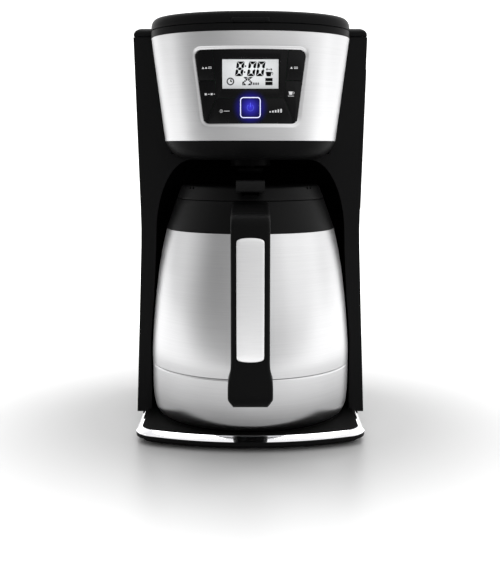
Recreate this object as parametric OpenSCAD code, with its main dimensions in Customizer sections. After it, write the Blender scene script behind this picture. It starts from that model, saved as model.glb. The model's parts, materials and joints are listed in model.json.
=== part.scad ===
// Drip coffee maker with a thermal carafe.
// +Z is up, +X is the user's right, -Y is the front.
// The origin is at the middle of the footprint, on the surface it stands on.

/* [Overall] */
// Half width of the tower at its waist
waist_half_w = 92.9; // [91:0.1:94]
// Height of the waist above the table
waist_z = 169; // [165:1:180]
// How far the side walls sweep outwards 100 mm from the waist
side_sweep = 3.335; // [2.5:0.1:4]
// Front plane of the tower
tower_front_y = -15; // [-16:0.5:-14]
// Back plane of the tower
tower_back_y = 140; // [138:0.5:142]
// Wall thickness of the housing
wall = 2.8; // [2.4:0.1:3.0]
// Radius of the tower's back corners
back_corner_r = 32; // [28:1:34]

/* [Head] */
// Half width of the head at the top of the steel fascia
head_half_w = 80; // [78:0.5:81]
// Depth of the head's curved front
head_depth = 65; // [62:0.5:66]
// Squareness of the head's plan curve, 2 is an ellipse
head_power = 2.15; // [2:0.05:2.4]
// Scale of the head's plan at the bottom of the fascia
head_taper = 0.8714; // [0.86:0.005:0.9]
// Thickness of the steel fascia
fascia_t = 0.9; // [0.7:0.1:1.0]

/* [Carafe] */
// Distance from the carafe's axis to the origin, towards the back
axis_y = -10; // [-11:0.5:-9]
// Thickness of the carafe's steel sheet
steel_t = 0.8; // [0.6:0.1:0.9]
// Width of the handle
handle_w = 29.2; // [26:0.2:30]
// Clearance between the carafe and the platform
stand_gap = 0.2; // [0.1:0.05:0.4]

/* [Controls] */
// Gap round each button cap
cap_gap = 0.3; // [0.2:0.05:0.4]
// Side of the square power button's light ring
power_side = 16.2; // [15:0.1:17]

/* [Brewing] */
// Top radius of the brew basket
basket_top_r = 58.6; // [57:0.1:59]
// Depth of the water tank, front to back
tank_depth = 50; // [44:1:50]

/* [Hidden] */
$fn = 64;
e = 0.01;
black = [0.08, 0.08, 0.085];
steel = [0.72, 0.72, 0.73];
chrome = [0.85, 0.85, 0.87];

// place of the cord gland on the back
gland_x = -50;
gland_z = 26;

// heights
base_half = 94.1;      // half width of the base
foot_z = 2;            // underside of the base pan
pan_top = 9.5;         // top of the base lip
plat_z = 12.1;         // top of the carafe platform
tower_z0 = 10;         // lower edge of the tower
tower_z1 = 330;        // upper edge of tower and head
lid_z0 = 330.6;
lid_z1 = 341.5;
fas_z0 = 244.1;
fas_z1 = 325.8;
bay_top = 229;

// half width of the tower at height z
function tw(z) = let (t = (z - waist_z) / 100) waist_half_w - 0.515 * t + side_sweep * sqrt(t * t + 0.0144);

// front half of a superellipse, from +x round the front to -x
function se_front(a, b, n, y0, N) =
  [for (i = [0:N]) let (t = 180 * i / N)
    [a * sign(cos(t)) * pow(abs(cos(t)), 2 / n), y0 - b * pow(abs(sin(t)), 2 / n)]];

// points of an arc
function arc(cx, cy, r, a0, a1, N) =
  [for (i = [0:N]) let (t = a0 + (a1 - a0) * i / N) [cx + r * cos(t), cy + r * sin(t)]];

// scale of the head's plan at height z
function hs(z) = head_taper + (1 - head_taper) * (z - fas_z0) / (fas_z1 - fas_z0);

// closed solid through rings of equally many plan points, one ring per height;
// the points run clockwise seen from above
module loft(rings, zs) {
  n = len(rings[0]);
  m = len(zs);
  pts = [for (k = [0:m - 1]) for (q = rings[k]) [q[0], q[1], zs[k]]];
  faces = concat([[for (i = [n - 1:-1:0]) i]], [[for (i = [0:n - 1]) (m - 1) * n + i]],
    [for (k = [0:m - 2]) for (i = [0:n - 1]) let (a = k * n + i, b = k * n + (i + 1) % n) each [[a, b, b + n], [a, b + n, a + n]]]);
  polyhedron(pts, faces, convexity = 6);
}

// plan of the head at scale s, drawn in by d, back edge at yb
function head_pts(s, d, yb, N = 56) = concat(se_front(head_half_w * s - d, head_depth * s - d, head_power, -35, N),
    [[-(head_half_w * s - d), yb], [head_half_w * s - d, yb]]);
module head_plan(s, d, yb) polygon(head_pts(s, d, yb));

// solid of the head between two heights, drawn in by d
module head_solid(z0, z1, d, yb) {
  hull() {
    translate([0, 0, z0]) linear_extrude(e) head_plan(hs(z0), d, yb);
    translate([0, 0, z1 - e]) linear_extrude(e) head_plan(hs(z1), d, yb);
  }
}

// front view outline of the tower, drawn in by d
module tower_front_view(z0, z1, d) {
  n = 20;
  polygon(concat(
    [for (i = [0:n]) let (z = z0 + (z1 - z0) * i / n) [tw(z) - d, z]],
    [for (i = [n:-1:0]) let (z = z0 + (z1 - z0) * i / n) [-(tw(z) - d), z]]));
}

// plan of the tower with round back corners, drawn in by d
module tower_plan(d, y0, y1, half = 101) {
  r = back_corner_r - d;
  difference() {
    translate([-half, y0]) square([2 * half, y1 - y0]);
    for (s = [-1, 1]) translate([s * (97 - back_corner_r), tower_back_y - back_corner_r])
      difference() {
        translate([s > 0 ? 0 : -60, 0]) square([60, 60]);
        circle(r = r, $fn = 96);
      }
  }
}

// block of the tower between y0 and y1
module tower_block(z0, z1, d, y0, y1) {
  intersection() {
    translate([0, y1, 0]) rotate([90, 0, 0]) linear_extrude(y1 - y0) tower_front_view(z0, z1, d);
    translate([0, 0, z0 - 1]) linear_extrude(z1 - z0 + 2) tower_plan(d, y0 - 1, tower_back_y - d);
  }
}

// half width of the carafe bay
function bay_pts(d) = concat(
  [[86.2 + d, tower_z0 + 0.2], [86.2 + d, 75], [84.2 + d, 100], [83 + d, 112], [82 + d, 131], [80.7 + d, 155]],
  [for (i = [0:10]) let (t = 9 * i) [50 + (30.5 + d) * cos(t), 165 + (64 + d) * sin(t)]]);

// arch opening in the front frame
module arch_outline(d, top = 0) {
  p = bay_pts(d);
  polygon(concat([for (q = p) [q[0], q[1]]],
    [for (i = [len(p) - 1:-1:0]) [-p[i][0], p[i][1]]],
    [[-(86.2 + d), -5], [86.2 + d, -5]]));
}

// plan of the base and tray, drawn in by d: straight sides, round front corners, bowed front
function base_front(d) = let (ro = 203 - d, rc = 22 - d, cx = 72.1, cy = -65.24, a = 23.3)
  concat(arc(cx, cy, rc, 0, -90 + a, 8), arc(0, 101, ro, -90 + a - 1.5, -90 - a + 1.5, 26), arc(-cx, cy, rc, -90 - a, -180, 8));
module base_plan(d, yb) {
  polygon(concat(base_front(d), [[-(base_half - d), yb], [base_half - d, yb]]));
}

/* ---------------- base ---------------- */

foot_xy = [[70, -62], [-70, -62], [70, 112], [-70, 112]];
screw_xy = [[52, -62], [-52, -62], [84, 62], [-84, 62]];

module rubber_feet() color([0.12, 0.12, 0.12])
  for (p = foot_xy) translate([p[0], p[1], 0]) {
    cylinder(r1 = 7, r2 = 8, h = 1);
    translate([0, 0, 1]) cylinder(r = 8, h = 2);
  }

module base_pan() color(black)
  difference() {
    union() {
      // set back foot part, then the lip that juts out over it
      translate([0, 0, foot_z]) linear_extrude(2.4) pan_plan(5);
      translate([0, 0, foot_z + 2.4 - e]) linear_extrude(1.8) difference() { pan_plan(5); pan_plan(7.6); }
      translate([0, 0, foot_z + 3]) linear_extrude(2) difference() { pan_plan(0); pan_plan(7.6); }
      translate([0, 0, foot_z + 5 - e]) linear_extrude(pan_top - foot_z - 5 + e)
        difference() { pan_plan(0); pan_plan(2.6); }
    }
    for (p = foot_xy) translate([p[0], p[1], foot_z - 1]) cylinder(r = 8.05, h = 2);
    for (p = screw_xy) translate([p[0], p[1], foot_z - 1]) {
      cylinder(r = 3.4, h = 2.2);
      cylinder(r = 1.7, h = 6);
    }
    for (x = [-36:12:36]) translate([x - 2, 92, 0]) cube([4, 30, 6]);
  }
module pan_plan(d) {
  base_plan(d, -14);
  difference() {
    translate([-(base_half - d), -15]) square([2 * (base_half - d), 15 + 136 - d]);
    for (s = [-1, 1]) translate([s * (base_half - 30), 106])
      difference() {
        translate([s > 0 ? 0 : -60, 0]) square([60, 60]);
        circle(r = 30 - d, $fn = 96);
      }
  }
}

module base_screws() color(steel)
  for (p = screw_xy) translate([p[0], p[1], foot_z]) difference() {
    union() {
      translate([0, 0, 0.2]) cylinder(r = 3.1, h = 1);
      translate([0, 0, 0.2]) cylinder(r = 1.5, h = 8.2);
    }
    translate([-0.4, -2, 0]) cube([0.8, 4, 0.7]);
    translate([-2, -0.4, 0]) cube([4, 0.8, 0.7]);
  }

module carafe_platform() color(black)
  difference() {
    union() {
      translate([0, 0, pan_top + 0.1]) linear_extrude(plat_z - pan_top - 0.1) {
        base_plan(5.6, -15.2);
        translate([0, axis_y]) circle(r = 86, $fn = 96);
      }
      for (p = screw_xy) if (p[1] < 0) translate([p[0], p[1], 4.6]) cylinder(r = 4, h = 6);
    }
    for (p = screw_xy) translate([p[0], p[1], 4]) cylinder(r = 1.5, h = 6.6);
    translate([0, axis_y, plat_z - 0.6]) difference() {
      cylinder(r = 81, h = 2);
      translate([0, 0, -1]) cylinder(r = 78, h = 4);
    }
  }

// chrome strip on the lip: a wedge swept round the front
module tray_trim() {
  o = concat([[base_half - 1.5, -15.3]], base_front(1.5), [[-(base_half - 1.5), -15.3]]);
  i = concat([[base_half - 5.3, -15.3]], base_front(5.3), [[-(base_half - 5.3), -15.3]]);
  n = len(o);
  pts = [for (k = [0:n - 1]) each [[o[k][0], o[k][1], pan_top], [i[k][0], i[k][1], pan_top],
                                  [i[k][0], i[k][1], plat_z], [o[k][0], o[k][1], pan_top + 0.3]]];
  faces = concat([[0, 1, 2, 3]], [[4 * n - 1, 4 * n - 2, 4 * n - 3, 4 * n - 4]],
    [for (k = [0:n - 2]) for (j = [0:3]) let (a = 4 * k + j, b = 4 * k + (j + 1) % 4) [a, a + 4, b + 4, b]]);
  color(chrome) polyhedron(pts, faces, convexity = 8);
}

/* ---------------- tower ---------------- */

split_y = 104;   // seam between tower shell and rear cover

module tower_shell() color(black)
  difference() {
    union() {
      difference() {
        tower_block(tower_z0, tower_z1, 0, tower_front_y, split_y);
        tower_block(tower_z0 - 20, tower_z1 + 5, wall, tower_front_y + wall, split_y + 60);
      }
      // screw posts and their ribs
      for (s = [-1, 1]) translate([s * 84, 62, tower_z0]) {
        cylinder(r = 4.6, h = 14);
        translate([s > 0 ? 0 : -12.6, -2, 0]) cube([12.6, 4, 14]);
      }
      // shelf behind the arch, round the drip hole
      translate([-34, tower_front_y, bay_top + 2.4]) cube([68, 40, 2.3]);
    }
    translate([0, tower_front_y + wall + 1, 0]) rotate([90, 0, 0]) linear_extrude(wall + 3) arch_outline(0);
    translate([-67, tower_front_y - 1, 233.8]) cube([134, wall + 2, 102]);
    translate([0, axis_y, 220]) cylinder(r = 17, h = 20);
    for (p = screw_xy) if (p[1] > 0) translate([p[0], p[1], 4]) cylinder(r = 1.5, h = 6.4);
    // window slot in the right wall
    translate([80, -5, 188]) cube([30, 14, 115]);
  }

module water_gauge_window() color([0.1, 0.1, 0.11, 0.8])
  difference() {
    intersection() {
      translate([0, 10, 0]) rotate([90, 0, 0]) linear_extrude(16) difference() {
        gauge_view(-1.6, 186.2, 304.8);
        gauge_view(2.6, 180, 310);
        translate([-110, 150]) square([190, 200]);
      }
      union() {
        translate([95.3 - 9, -4.8, 188.2]) cube([30, 13.6, 114.6]);
        difference() {
          translate([80, -6, 186]) cube([30, 16, 119]);
          translate([0, 12, 0]) rotate([90, 0, 0]) linear_extrude(20) gauge_view(-0.03, 150, 340);
        }
      }
    }
    translate([80, -30, 180]) cube([1, 1, 1]);
  }
module gauge_view(d, z0, z1) {
  n = 12;
  polygon(concat([for (i = [0:n]) let (z = z0 + (z1 - z0) * i / n) [tw(z) - d, z]], [[70, z1], [70, z0]]));
}

module sight_tube() color([0.8, 0.85, 0.9, 0.6])
  translate([86.2, 2, 0]) {
    difference() {
      translate([0, 0, 186]) cylinder(r = 3.4, h = 116, $fn = 32);
      translate([0, 0, 188]) cylinder(r = 2.4, h = 118, $fn = 32);
    }
    translate([0, 0, 196]) cylinder(r = 2.1, h = 4, $fn = 32);
    translate([0, 0, 187.9]) cylinder(r = 1.2, h = 9, $fn = 32);
  }

vent_z = [48:9:120];
module rear_cover() color(black)
  difference() {
    union() {
      difference() {
        tower_block(tower_z0, tower_z1, 0, split_y + 0.3, tower_back_y);
        tower_block(tower_z0 - 20, tower_z1 + 5, wall, split_y - 60, tower_back_y - wall);
      }
      // inner lip that locates it in the tower shell
      difference() {
        tower_block(tower_z0 + 1, tower_z1 - 12, wall + 0.15, split_y - 6, split_y + 8);
        tower_block(tower_z0 - 20, tower_z1 + 5, wall + 1.9, split_y - 60, split_y + 60);
      }
      // ledge behind the lid
      translate([0, 0, tower_z1 - 2]) linear_extrude(4.4) intersection() {
        tower_plan(1.2, 132.2, tower_back_y - 1.2, 80);
        translate([-80, 132.2]) square([160, 20]);
      }
    }
    for (z = vent_z) for (s = [-1, 1]) translate([s * 34 - 22, 130, z]) cube([44, 20, 3.2]);
    translate([gland_x, 130, gland_z]) rotate([-90, 0, 0]) cylinder(r = 7.1, h = 20);
  }

// bay behind the carafe: half a shell of revolution and a short straight lead-in
module bay_profile() {
  p = bay_pts(0);
  q = bay_pts(2.2);
  polygon(concat([for (k = [0:len(p) - 1]) p[k]], [[17, bay_top], [17, bay_top + 2.2]], [for (k = [len(q) - 1:-1:0]) q[k]]));
}
module bay_liner() color([0.06, 0.06, 0.065])
  difference() {
    translate([0, axis_y, 0]) rotate_extrude($fn = 128) bay_profile();
    translate([-120, -140, 0]) cube([240, 140 + tower_front_y + wall + 0.1, 300]);
  }

/* ---------------- head ---------------- */

// rounded outline from corner points [x, z, r]
module round_poly(p) {
  n = len(p);
  polygon([for (k = [0:n - 1]) let (
      a = [p[(k + n - 1) % n][0], p[(k + n - 1) % n][1]], b = [p[k][0], p[k][1]], c = [p[(k + 1) % n][0], p[(k + 1) % n][1]], r = p[k][2],
      u = (a - b) / norm(a - b), v = (c - b) / norm(c - b), ang = acos(u * v), t = r / tan(ang / 2))
    for (j = [0:4]) let (s = j / 4, q0 = b + u * t, q1 = b + v * t,
      m = (1 - s) * (1 - s), w = 2 * s * (1 - s) * cos((180 - ang) / 2), l = s * s)
      (m * q0 + w * b + l * q1) / (m + w + l)]);
}
// control panel outline, grown by d
module panel_outline(d) {
  round_poly([[-(43.1 + d), 312.3 + d, 4.6], [43.1 + d, 312.3 + d, 4.6], [36.0 + d, 257 - d, 5], [-(36.0 + d), 257 - d, 5]]);
}
// prism through the head's front, seen in the front view
module through(y0 = -105, l = 40) translate([0, y0 + l, 0]) rotate([90, 0, 0]) linear_extrude(l) children();

// curved slab of the head between two depths
module head_slab(z0, z1, d0, d1) difference() {
  head_solid(z0, z1, d0, -36);
  head_solid(z0 - 1, z1 + 1, d1, -30);
}

module steel_fascia() color(steel)
  difference() {
    head_solid(fas_z0, fas_z1, 0, tower_front_y - 0.2);
    translate([0, 0, -1]) head_solid(fas_z0 - 1, fas_z1 + 3, fascia_t, tower_front_y + 5);
    through() panel_outline(0.15);
  }

module head_shell() color(black)
  difference() {
    union() {
      head_solid(fas_z0, fas_z1 + 0.2, fascia_t + 0.25, tower_front_y - 0.2);
      translate([0, 0, fas_z1 + 0.1]) linear_extrude(tower_z1 - fas_z1 - 0.1) head_plan(1, 0, tower_front_y - 0.2);
    }
    translate([0, 0, -1]) head_solid(fas_z0 - 1, fas_z1 + 3, fascia_t + 2.4, tower_front_y + 5);
    translate([0, 0, fas_z1 - 2]) linear_extrude(20) head_plan(1, fascia_t + 2.4, tower_front_y + 5);
    through() panel_outline(0.3);
  }

bowl_z = [229.4, 230.2, 232.6, 238.4, 244.0];
bowl_s = [0.665, 0.7, 0.766, 0.829, 0.871];
module head_bowl() color(black)
  difference() {
    loft([for (k = bowl_s) head_pts(k, 0, tower_front_y - 0.2, 44)], bowl_z);
    loft([for (k = bowl_s) head_pts(k, k == 0.871 ? 2.2 : 2.4, tower_front_y + 5, 44)], [for (z = bowl_z) z == 244.0 ? 246 : z + 2.2]);
    translate([0, axis_y, 220]) cylinder(r = 17, h = 20);
  }

// button outlines, seen from the front
module left_upper() polygon([[-41.4, 309], [-39.5, 311.2], [-29.2, 311.2], [-27.4, 289.8], [-39.2, 289.8]]);
module left_lower() polygon([[-39.1, 288.8], [-27.3, 288.8], [-26.6, 276.8], [-33.3, 260.9], [-35.6, 260.9]]);
module low_left() polygon([[-25.3, 275.8], [-9.2, 275.8], [-9.2, 258], [-30.6, 258], [-31.9, 259.6]]);
module square_outline(h) polygon([[-h, 269.1 - h], [h, 269.1 - h], [h, 269.1 + h], [-h, 269.1 + h]]);
module lcd_outline(d) polygon([[-21.2 - d, 283.5 - d], [21.2 + d, 283.5 - d], [21.2 + d, 304.7 + d], [-21.2 - d, 304.7 + d]]);
module cap(z0, z1, d0 = 0.7, d1 = 3.3) color(black) intersection() {
  head_slab(z0, z1, d0, d1);
  through() offset(delta = -cap_gap) children();
}

module control_bezel() color([0.03, 0.03, 0.04])
  difference() {
    intersection() {
      head_slab(256, 314, 0.9, 2.7);
      through() panel_outline(0);
    }
    through() {
      for (m = [0, 1]) mirror([m, 0]) { left_upper(); left_lower(); low_left(); }
      square_outline(power_side / 2 + 0.15);
      lcd_outline(0.1);
    }
  }
module lcd_window() color([0.6, 0.65, 0.7, 0.5])
  intersection() {
    head_slab(282, 306, 0.95, 2.5);
    through() lcd_outline(0);
  }
module lcd_module() color([0.55, 0.6, 0.62])
  difference() {
    translate([-24, -89.8, 281]) cube([48, 5.6, 26.4]);
    translate([-21.5, -90.2, 283.2]) cube([43, 1, 21.8]);
  }
module control_board() color([0.05, 0.3, 0.15])
  union() {
    translate([-34, -82, 252]) cube([68, 1.6, 62]);
    // tact switches behind the caps
    for (p = [[-31, 298], [31, 298], [-31, 281], [31, 281], [-19.5, 268], [19.5, 268], [0, 269]])
      translate([p[0] - 2.5, -83.6, p[1] - 2.5]) cube([5, 1.7, 5]);
    // display pins and processor
    translate([-20, -83.9, 285]) cube([40, 2, 18]);
    translate([-14, -80.5, 262]) cube([16, 2, 16]);
  }
module power_light_ring() color([0.7, 0.8, 1])
  intersection() {
    head_slab(258, 280, 0.6, 3);
    through() difference() { square_outline(power_side / 2); square_outline(power_side / 2 - 0.9); }
  }
module hour_button() cap(287, 312) left_upper();
module minute_button() cap(287, 312) mirror([1, 0]) left_upper();
module program_button() cap(260, 290) left_lower();
module cup_button() cap(260, 290) mirror([1, 0]) left_lower();
module auto_button() cap(257, 277) low_left();
module strong_button() cap(257, 277) mirror([1, 0]) low_left();
module power_button() color([0.1, 0.15, 0.7]) intersection() {
  head_slab(258, 280, 0.5, 3.3);
  through() square_outline(power_side / 2 - 1.2);
}

module basket_well() color(black)
  translate([0, axis_y, 0]) difference() {
    translate([0, 0, 234]) cylinder(r1 = 52, r2 = 64, h = 92.4, $fn = 128);
    translate([0, 0, 236.2]) cylinder(r1 = 49.8, r2 = 61.9, h = 90.6, $fn = 128);
    translate([0, 0, 230]) cylinder(r = 15, h = 10);
  }

module top_deck() color(black)
  difference() {
    union() {
      translate([0, 0, 326.7]) linear_extrude(2.5) union() {
        tower_plan(3.2, tower_front_y + wall + 0.3, 131.9, 94.0);
        head_plan(1, 3.6, tower_front_y - 0.3);
        translate([-66.7, tower_front_y - 2]) square([133.4, 8]);
      }
      // hinge lugs
      for (s = [-1, 1]) translate([s * 53 - 3, 127, 0]) {
        translate([0, 0, 333.5]) rotate([0, 90, 0]) cylinder(r = 3.9, h = 6, $fn = 32);
        translate([0, -3.9, 328]) cube([6, 7.8, 5.5]);
      }
    }
    translate([0, axis_y, 320]) cylinder(r = 62, h = 20, $fn = 128);
    translate([-66, 86, 320]) cube([148, 34, 20]);
    translate([-74, 70, 320]) cylinder(r = 5.2, h = 20);
    for (s = [-1, 1]) translate([s * 53 - 5, 127, 333.5]) rotate([0, 90, 0]) cylinder(r = 1.6, h = 10, $fn = 32);
  }

module lid_hinge_pins() color(steel)
  for (s = [-1, 1]) translate([s * 53 - 15, 127, 333.5]) rotate([0, 90, 0]) cylinder(r = 1.6, h = 30, $fn = 32);

/* ---------------- water side ---------------- */

tank_y0 = 84;
module tank_box(d, z0, z1) {
  y1 = tank_y0 + tank_depth - d;
  translate([0, 0, z0]) linear_extrude(z1 - z0) difference() {
    translate([-70 + d, tank_y0 + d]) square([156 - 2 * d, tank_depth - 2 * d]);
    translate([61, 109]) difference() { square(60); circle(r = 25 - d, $fn = 96); }
    translate([-45, 109]) difference() { translate([-60, 0]) square(60); circle(r = 25 - d, $fn = 96); }
  }
}
module water_tank() color([0.35, 0.36, 0.38])
  difference() {
    tank_box(0, 66, 326);
    tank_box(2, 68, 340);
    translate([50, 108, 60]) cylinder(r = 6, h = 12);
  }
module tank_valve() color([0.85, 0.85, 0.85])
  translate([50, 108, 0]) difference() {
    union() {
      translate([0, 0, 68.1]) cylinder(r = 9, h = 2);
      translate([0, 0, 56]) cylinder(r = 5.9, h = 13);
    }
    translate([0, 0, 50]) cylinder(r = 3.8, h = 30);
  }
module inlet_hose() color([0.85, 0.85, 0.8])
  difference() {
    union() {
      translate([50, 108, 44]) cylinder(r = 5, h = 11.8, $fn = 32);
      translate([50, 98, 44]) rotate([90, 0, 90]) rotate_extrude(angle = -90, $fn = 32) translate([10, 0]) circle(r = 5, $fn = 32);
    }
    translate([50, 108, 43.9]) cylinder(r = 3.8, h = 20, $fn = 32);
    translate([50, 98, 44]) rotate([90, 0, 90]) rotate_extrude(angle = -90, $fn = 32) translate([10, 0]) circle(r = 3.8, $fn = 32);
  }
// U-shaped aluminium heater: water tube below, heating rod above
module u_tube(z, r, x0, x1) {
  for (y = [94, 122]) translate([x0, y, z]) rotate([0, 90, 0]) cylinder(r = r, h = x1 - x0, $fn = 32);
  translate([x0, 108, z]) rotate([0, 0, 90]) rotate_extrude(angle = 180, $fn = 48) translate([14, 0]) circle(r = r, $fn = 32);
}
module heater() color([0.75, 0.76, 0.78])
  difference() {
    union() {
      u_tube(22, 6, -40, 40);
      u_tube(31, 4, -40, 34);
      translate([-40, 90, 22]) cube([74, 8, 9]);
      translate([-40, 118, 22]) cube([74, 8, 9]);
    }
    for (y = [94, 122]) translate([-40, y, 22]) rotate([0, 90, 0]) cylinder(r = 4.4, h = 100, $fn = 32);
  }
module heater_bracket() color(steel)
  union() {
    translate([-20, 84, 36.2]) cube([24, 48, 1.2]);
    for (y = [84, 130.8]) translate([-20, y, 12]) cube([24, 1.2, 25]);
  }
module thermostat() color([0.9, 0.88, 0.8])
  translate([-34, 94, 35.2]) {
    cylinder(r = 7, h = 6);
    translate([-4, -1, 6]) cube([1, 3, 7]);
    translate([3, -1, 6]) cube([1, 3, 7]);
  }
module thermal_fuse() color([0.9, 0.85, 0.6])
  translate([14, 122, 37.3]) rotate([0, 90, 0]) {
    cylinder(r = 2.2, h = 12, $fn = 32);
    translate([0, 0, -6]) cylinder(r = 0.5, h = 24, $fn = 16);
  }
module riser_hose() color([0.85, 0.85, 0.8]) {
  translate([-79, 94, 40]) difference() {
    cylinder(r = 5, h = 268, $fn = 32);
    translate([0, 0, -1]) cylinder(r = 3.6, h = 270, $fn = 32);
  }
}
module spray_nozzle() color([0.2, 0.2, 0.2])
  difference() {
    union() {
      translate([-79, 94, 308.2]) cylinder(r = 5, h = 7, $fn = 32);
      translate([-84, 66, 313]) cube([10, 33, 8]);
      translate([-74, 70, 313]) cylinder(r = 5, h = 16.6, $fn = 32);
    }
    translate([-79, 94, 307]) cylinder(r = 3.4, h = 9, $fn = 32);
    translate([-81, 69, 315]) cube([4, 27, 4]);
    translate([-79.5, 68, 315]) cube([7, 4, 4]);
    translate([-74, 70, 315]) cylinder(r = 2.2, h = 20, $fn = 32);
  }
module power_board() color([0.5, 0.35, 0.12])
  union() {
    translate([-86, 86, 48]) cube([1.6, 40, 60]);
    translate([-84.5, 110, 58]) cube([12, 14, 16]);
    translate([-84.5, 112, 84]) rotate([0, 90, 0]) cylinder(r = 5, h = 11, $fn = 32);
  }
module cord_gland() color([0.1, 0.1, 0.1])
  translate([gland_x, 0, gland_z]) rotate([-90, 0, 0]) difference() {
    union() {
      translate([0, 0, tower_back_y - wall - 2]) cylinder(r = 9, h = 1.9);
      translate([0, 0, tower_back_y - wall - 2]) cylinder(r = 7, h = wall + 1.8);
    }
    translate([0, 0, 120]) cylinder(r = 3.6, h = 40);
  }

/* ---------------- lid ---------------- */

// straight sides, closed towards the hinge
function lid_pts(d) = [[97.4 - d, tower_front_y + d], [-(97.4 - d), tower_front_y + d], [-(97.4 - d), 108],
  [-(93.8 - d), 122 - d * 0.4], [93.8 - d, 122 - d * 0.4], [97.4 - d, 108]];
module tower_plan_lid(d) polygon(lid_pts(d));
// edge profiles, height and inset, over the tower and over the head
side_steps = [[0, 0.5], [3.4, 0.2], [5.2, 0.9], [6.6, 2.6], [7.3, 5.0], [7.7, 8.0]];
lid_steps = [[0, 0.5], [3.6, 0.2], [6.6, 0.9], [9.0, 2.6], [10.3, 5.0], [lid_z1 - lid_z0, 9.0]];
module lid_solid(d, dz, z0 = 0) {
  loft([for (q = side_steps) lid_pts(q[1] + d)], [for (q = side_steps) lid_z0 + q[0] - dz]);
  loft([for (q = lid_steps) head_pts(1, q[1] + d, 60, 44)], [for (q = lid_steps) lid_z0 + q[0] - dz]);
}
module lid_cover() color(black)
  difference() {
    union() {
      lid_solid(0, 0);
      // finger tab
      translate([0, 0, 331.2]) linear_extrude(2.8) polygon([[-14.7, -96], [14.7, -96], [13.2, -102.2], [-13.2, -102.2]]);
    }
    lid_solid(2.3, 2.2);
    // room for the hinge knuckles in the back edge
    for (s = [-1, 1]) translate([s * 53 - 13, 118.5, lid_z0 - 3]) cube([26, 6, 7.2]);
  }
module lid_liner() color([0.1, 0.1, 0.1])
  difference() {
    union() {
      translate([0, 0, 331.2]) linear_extrude(2) {
        tower_plan_lid(3.6);
        head_plan(1, 3.6, 60);
      }
      // hinge knuckles either side of each lug
      for (s = [-1, 1]) for (x = [-12, 3.4]) translate([s * 53 + x - (s < 0 ? 0 : 0), 127, 0]) {
        translate([0, 0, 333.5]) rotate([0, 90, 0]) cylinder(r = 3.6, h = 8.6, $fn = 32);
        translate([0, -10, 331.2]) cube([8.6, 10, 2.4]);
      }
      // water channel from the nozzle to the shower head
      translate([-80, 62, 333.1]) cube([12, 16, 2.2]);
      hull() {
        translate([-74, 66, 333.1]) cylinder(r = 5, h = 2.2, $fn = 24);
        translate([-20, 0, 333.1]) cylinder(r = 5, h = 2.2, $fn = 24);
      }
    }
    for (s = [-1, 1]) translate([s * 53 - 16, 127, 333.5]) rotate([0, 90, 0]) cylinder(r = 1.65, h = 32, $fn = 32);
    for (s = [-1, 1]) translate([s * 53 - 3.4, 116, 325]) cube([6.8, 30, 20]);
    translate([-74, 70, 325]) cylinder(r = 3, h = 9, $fn = 32);
    translate([-20, 0, 325]) cylinder(r = 3, h = 9, $fn = 32);
    hull() {
      translate([-74, 68, 332.4]) cylinder(r = 3, h = 1.6, $fn = 24);
      translate([-20, 0, 332.4]) cylinder(r = 3, h = 1.6, $fn = 24);
    }
  }
module shower_head() color([0.15, 0.15, 0.15])
  translate([0, axis_y, 0]) difference() {
    translate([0, 0, 324.6]) cylinder(r1 = 38, r2 = 42, h = 6.5, $fn = 96);
    translate([0, 0, 326.6]) cylinder(r1 = 36.6, r2 = 40, h = 6.5, $fn = 96);
    for (a = [0:30:330]) rotate([0, 0, a]) translate([28, 0, 320]) cylinder(r = 1.2, h = 10, $fn = 16);
    for (a = [0:60:300]) rotate([0, 0, a]) translate([14, 0, 320]) cylinder(r = 1.2, h = 10, $fn = 16);
  }

/* ---------------- brew basket ---------------- */

module brew_basket() color([0.1, 0.1, 0.1])
  translate([0, axis_y, 0]) difference() {
    union() {
      translate([0, 0, 238]) cylinder(r1 = 47, r2 = basket_top_r, h = 84, $fn = 128);
      translate([0, 0, 319.4]) cylinder(r = 60.2, h = 2.6, $fn = 128);
      translate([0, 0, 226]) cylinder(r = 13, h = 12.2);
    }
    translate([0, 0, 240.5]) cylinder(r1 = 45, r2 = basket_top_r - 2, h = 81.6, $fn = 128);
    translate([0, 0, 225]) cylinder(r = 10.4, h = 13);
    translate([0, 0, 225]) cylinder(r = 3.6, h = 20, $fn = 32);
    for (a = [0:60:300]) rotate([0, 0, a]) translate([7.4, 0, 230]) cylinder(r = 1.9, h = 12, $fn = 24);
  }
module drip_stop() color([0.15, 0.15, 0.15])
  translate([0, axis_y, 0]) union() {
    translate([0, 0, 218]) cylinder(r1 = 9, r2 = 11, h = 1.5);
    translate([0, 0, 219.5]) cylinder(r = 11, h = 2);
    translate([0, 0, 221]) cylinder(r = 3.52, h = 22, $fn = 32);
    translate([0, 0, 240.7]) cylinder(r = 11.5, h = 2.2);
  }
// compression spring: wire of radius w on a helix
module spring(r, w, z0, z1, turns, cx, cy) {
  n = turns * 18;
  pts = [for (i = [0:n]) let (a = 360 * turns * i / n, z = z0 + w + (z1 - z0 - 2 * w) * i / n)
    for (j = [0:5]) let (b = 60 * j) [cx + (r + w * cos(b)) * cos(a), cy + (r + w * cos(b)) * sin(a), z + w * sin(b)]];
  faces = concat([[5, 4, 3, 2, 1, 0]], [[for (j = [0:5]) 6 * n + j]],
    [for (i = [0:n - 1]) for (j = [0:5]) let (a = 6 * i + j, b = 6 * i + (j + 1) % 6) [a, b, b + 6, a + 6]]);
  polyhedron(pts, faces, convexity = 10);
}
module drip_stop_spring() color(steel) spring(6, 0.5, 221.7, 237.8, 5, 0, axis_y);

/* ---------------- carafe ---------------- */

cz = plat_z + stand_gap;   // underside of the carafe
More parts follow.
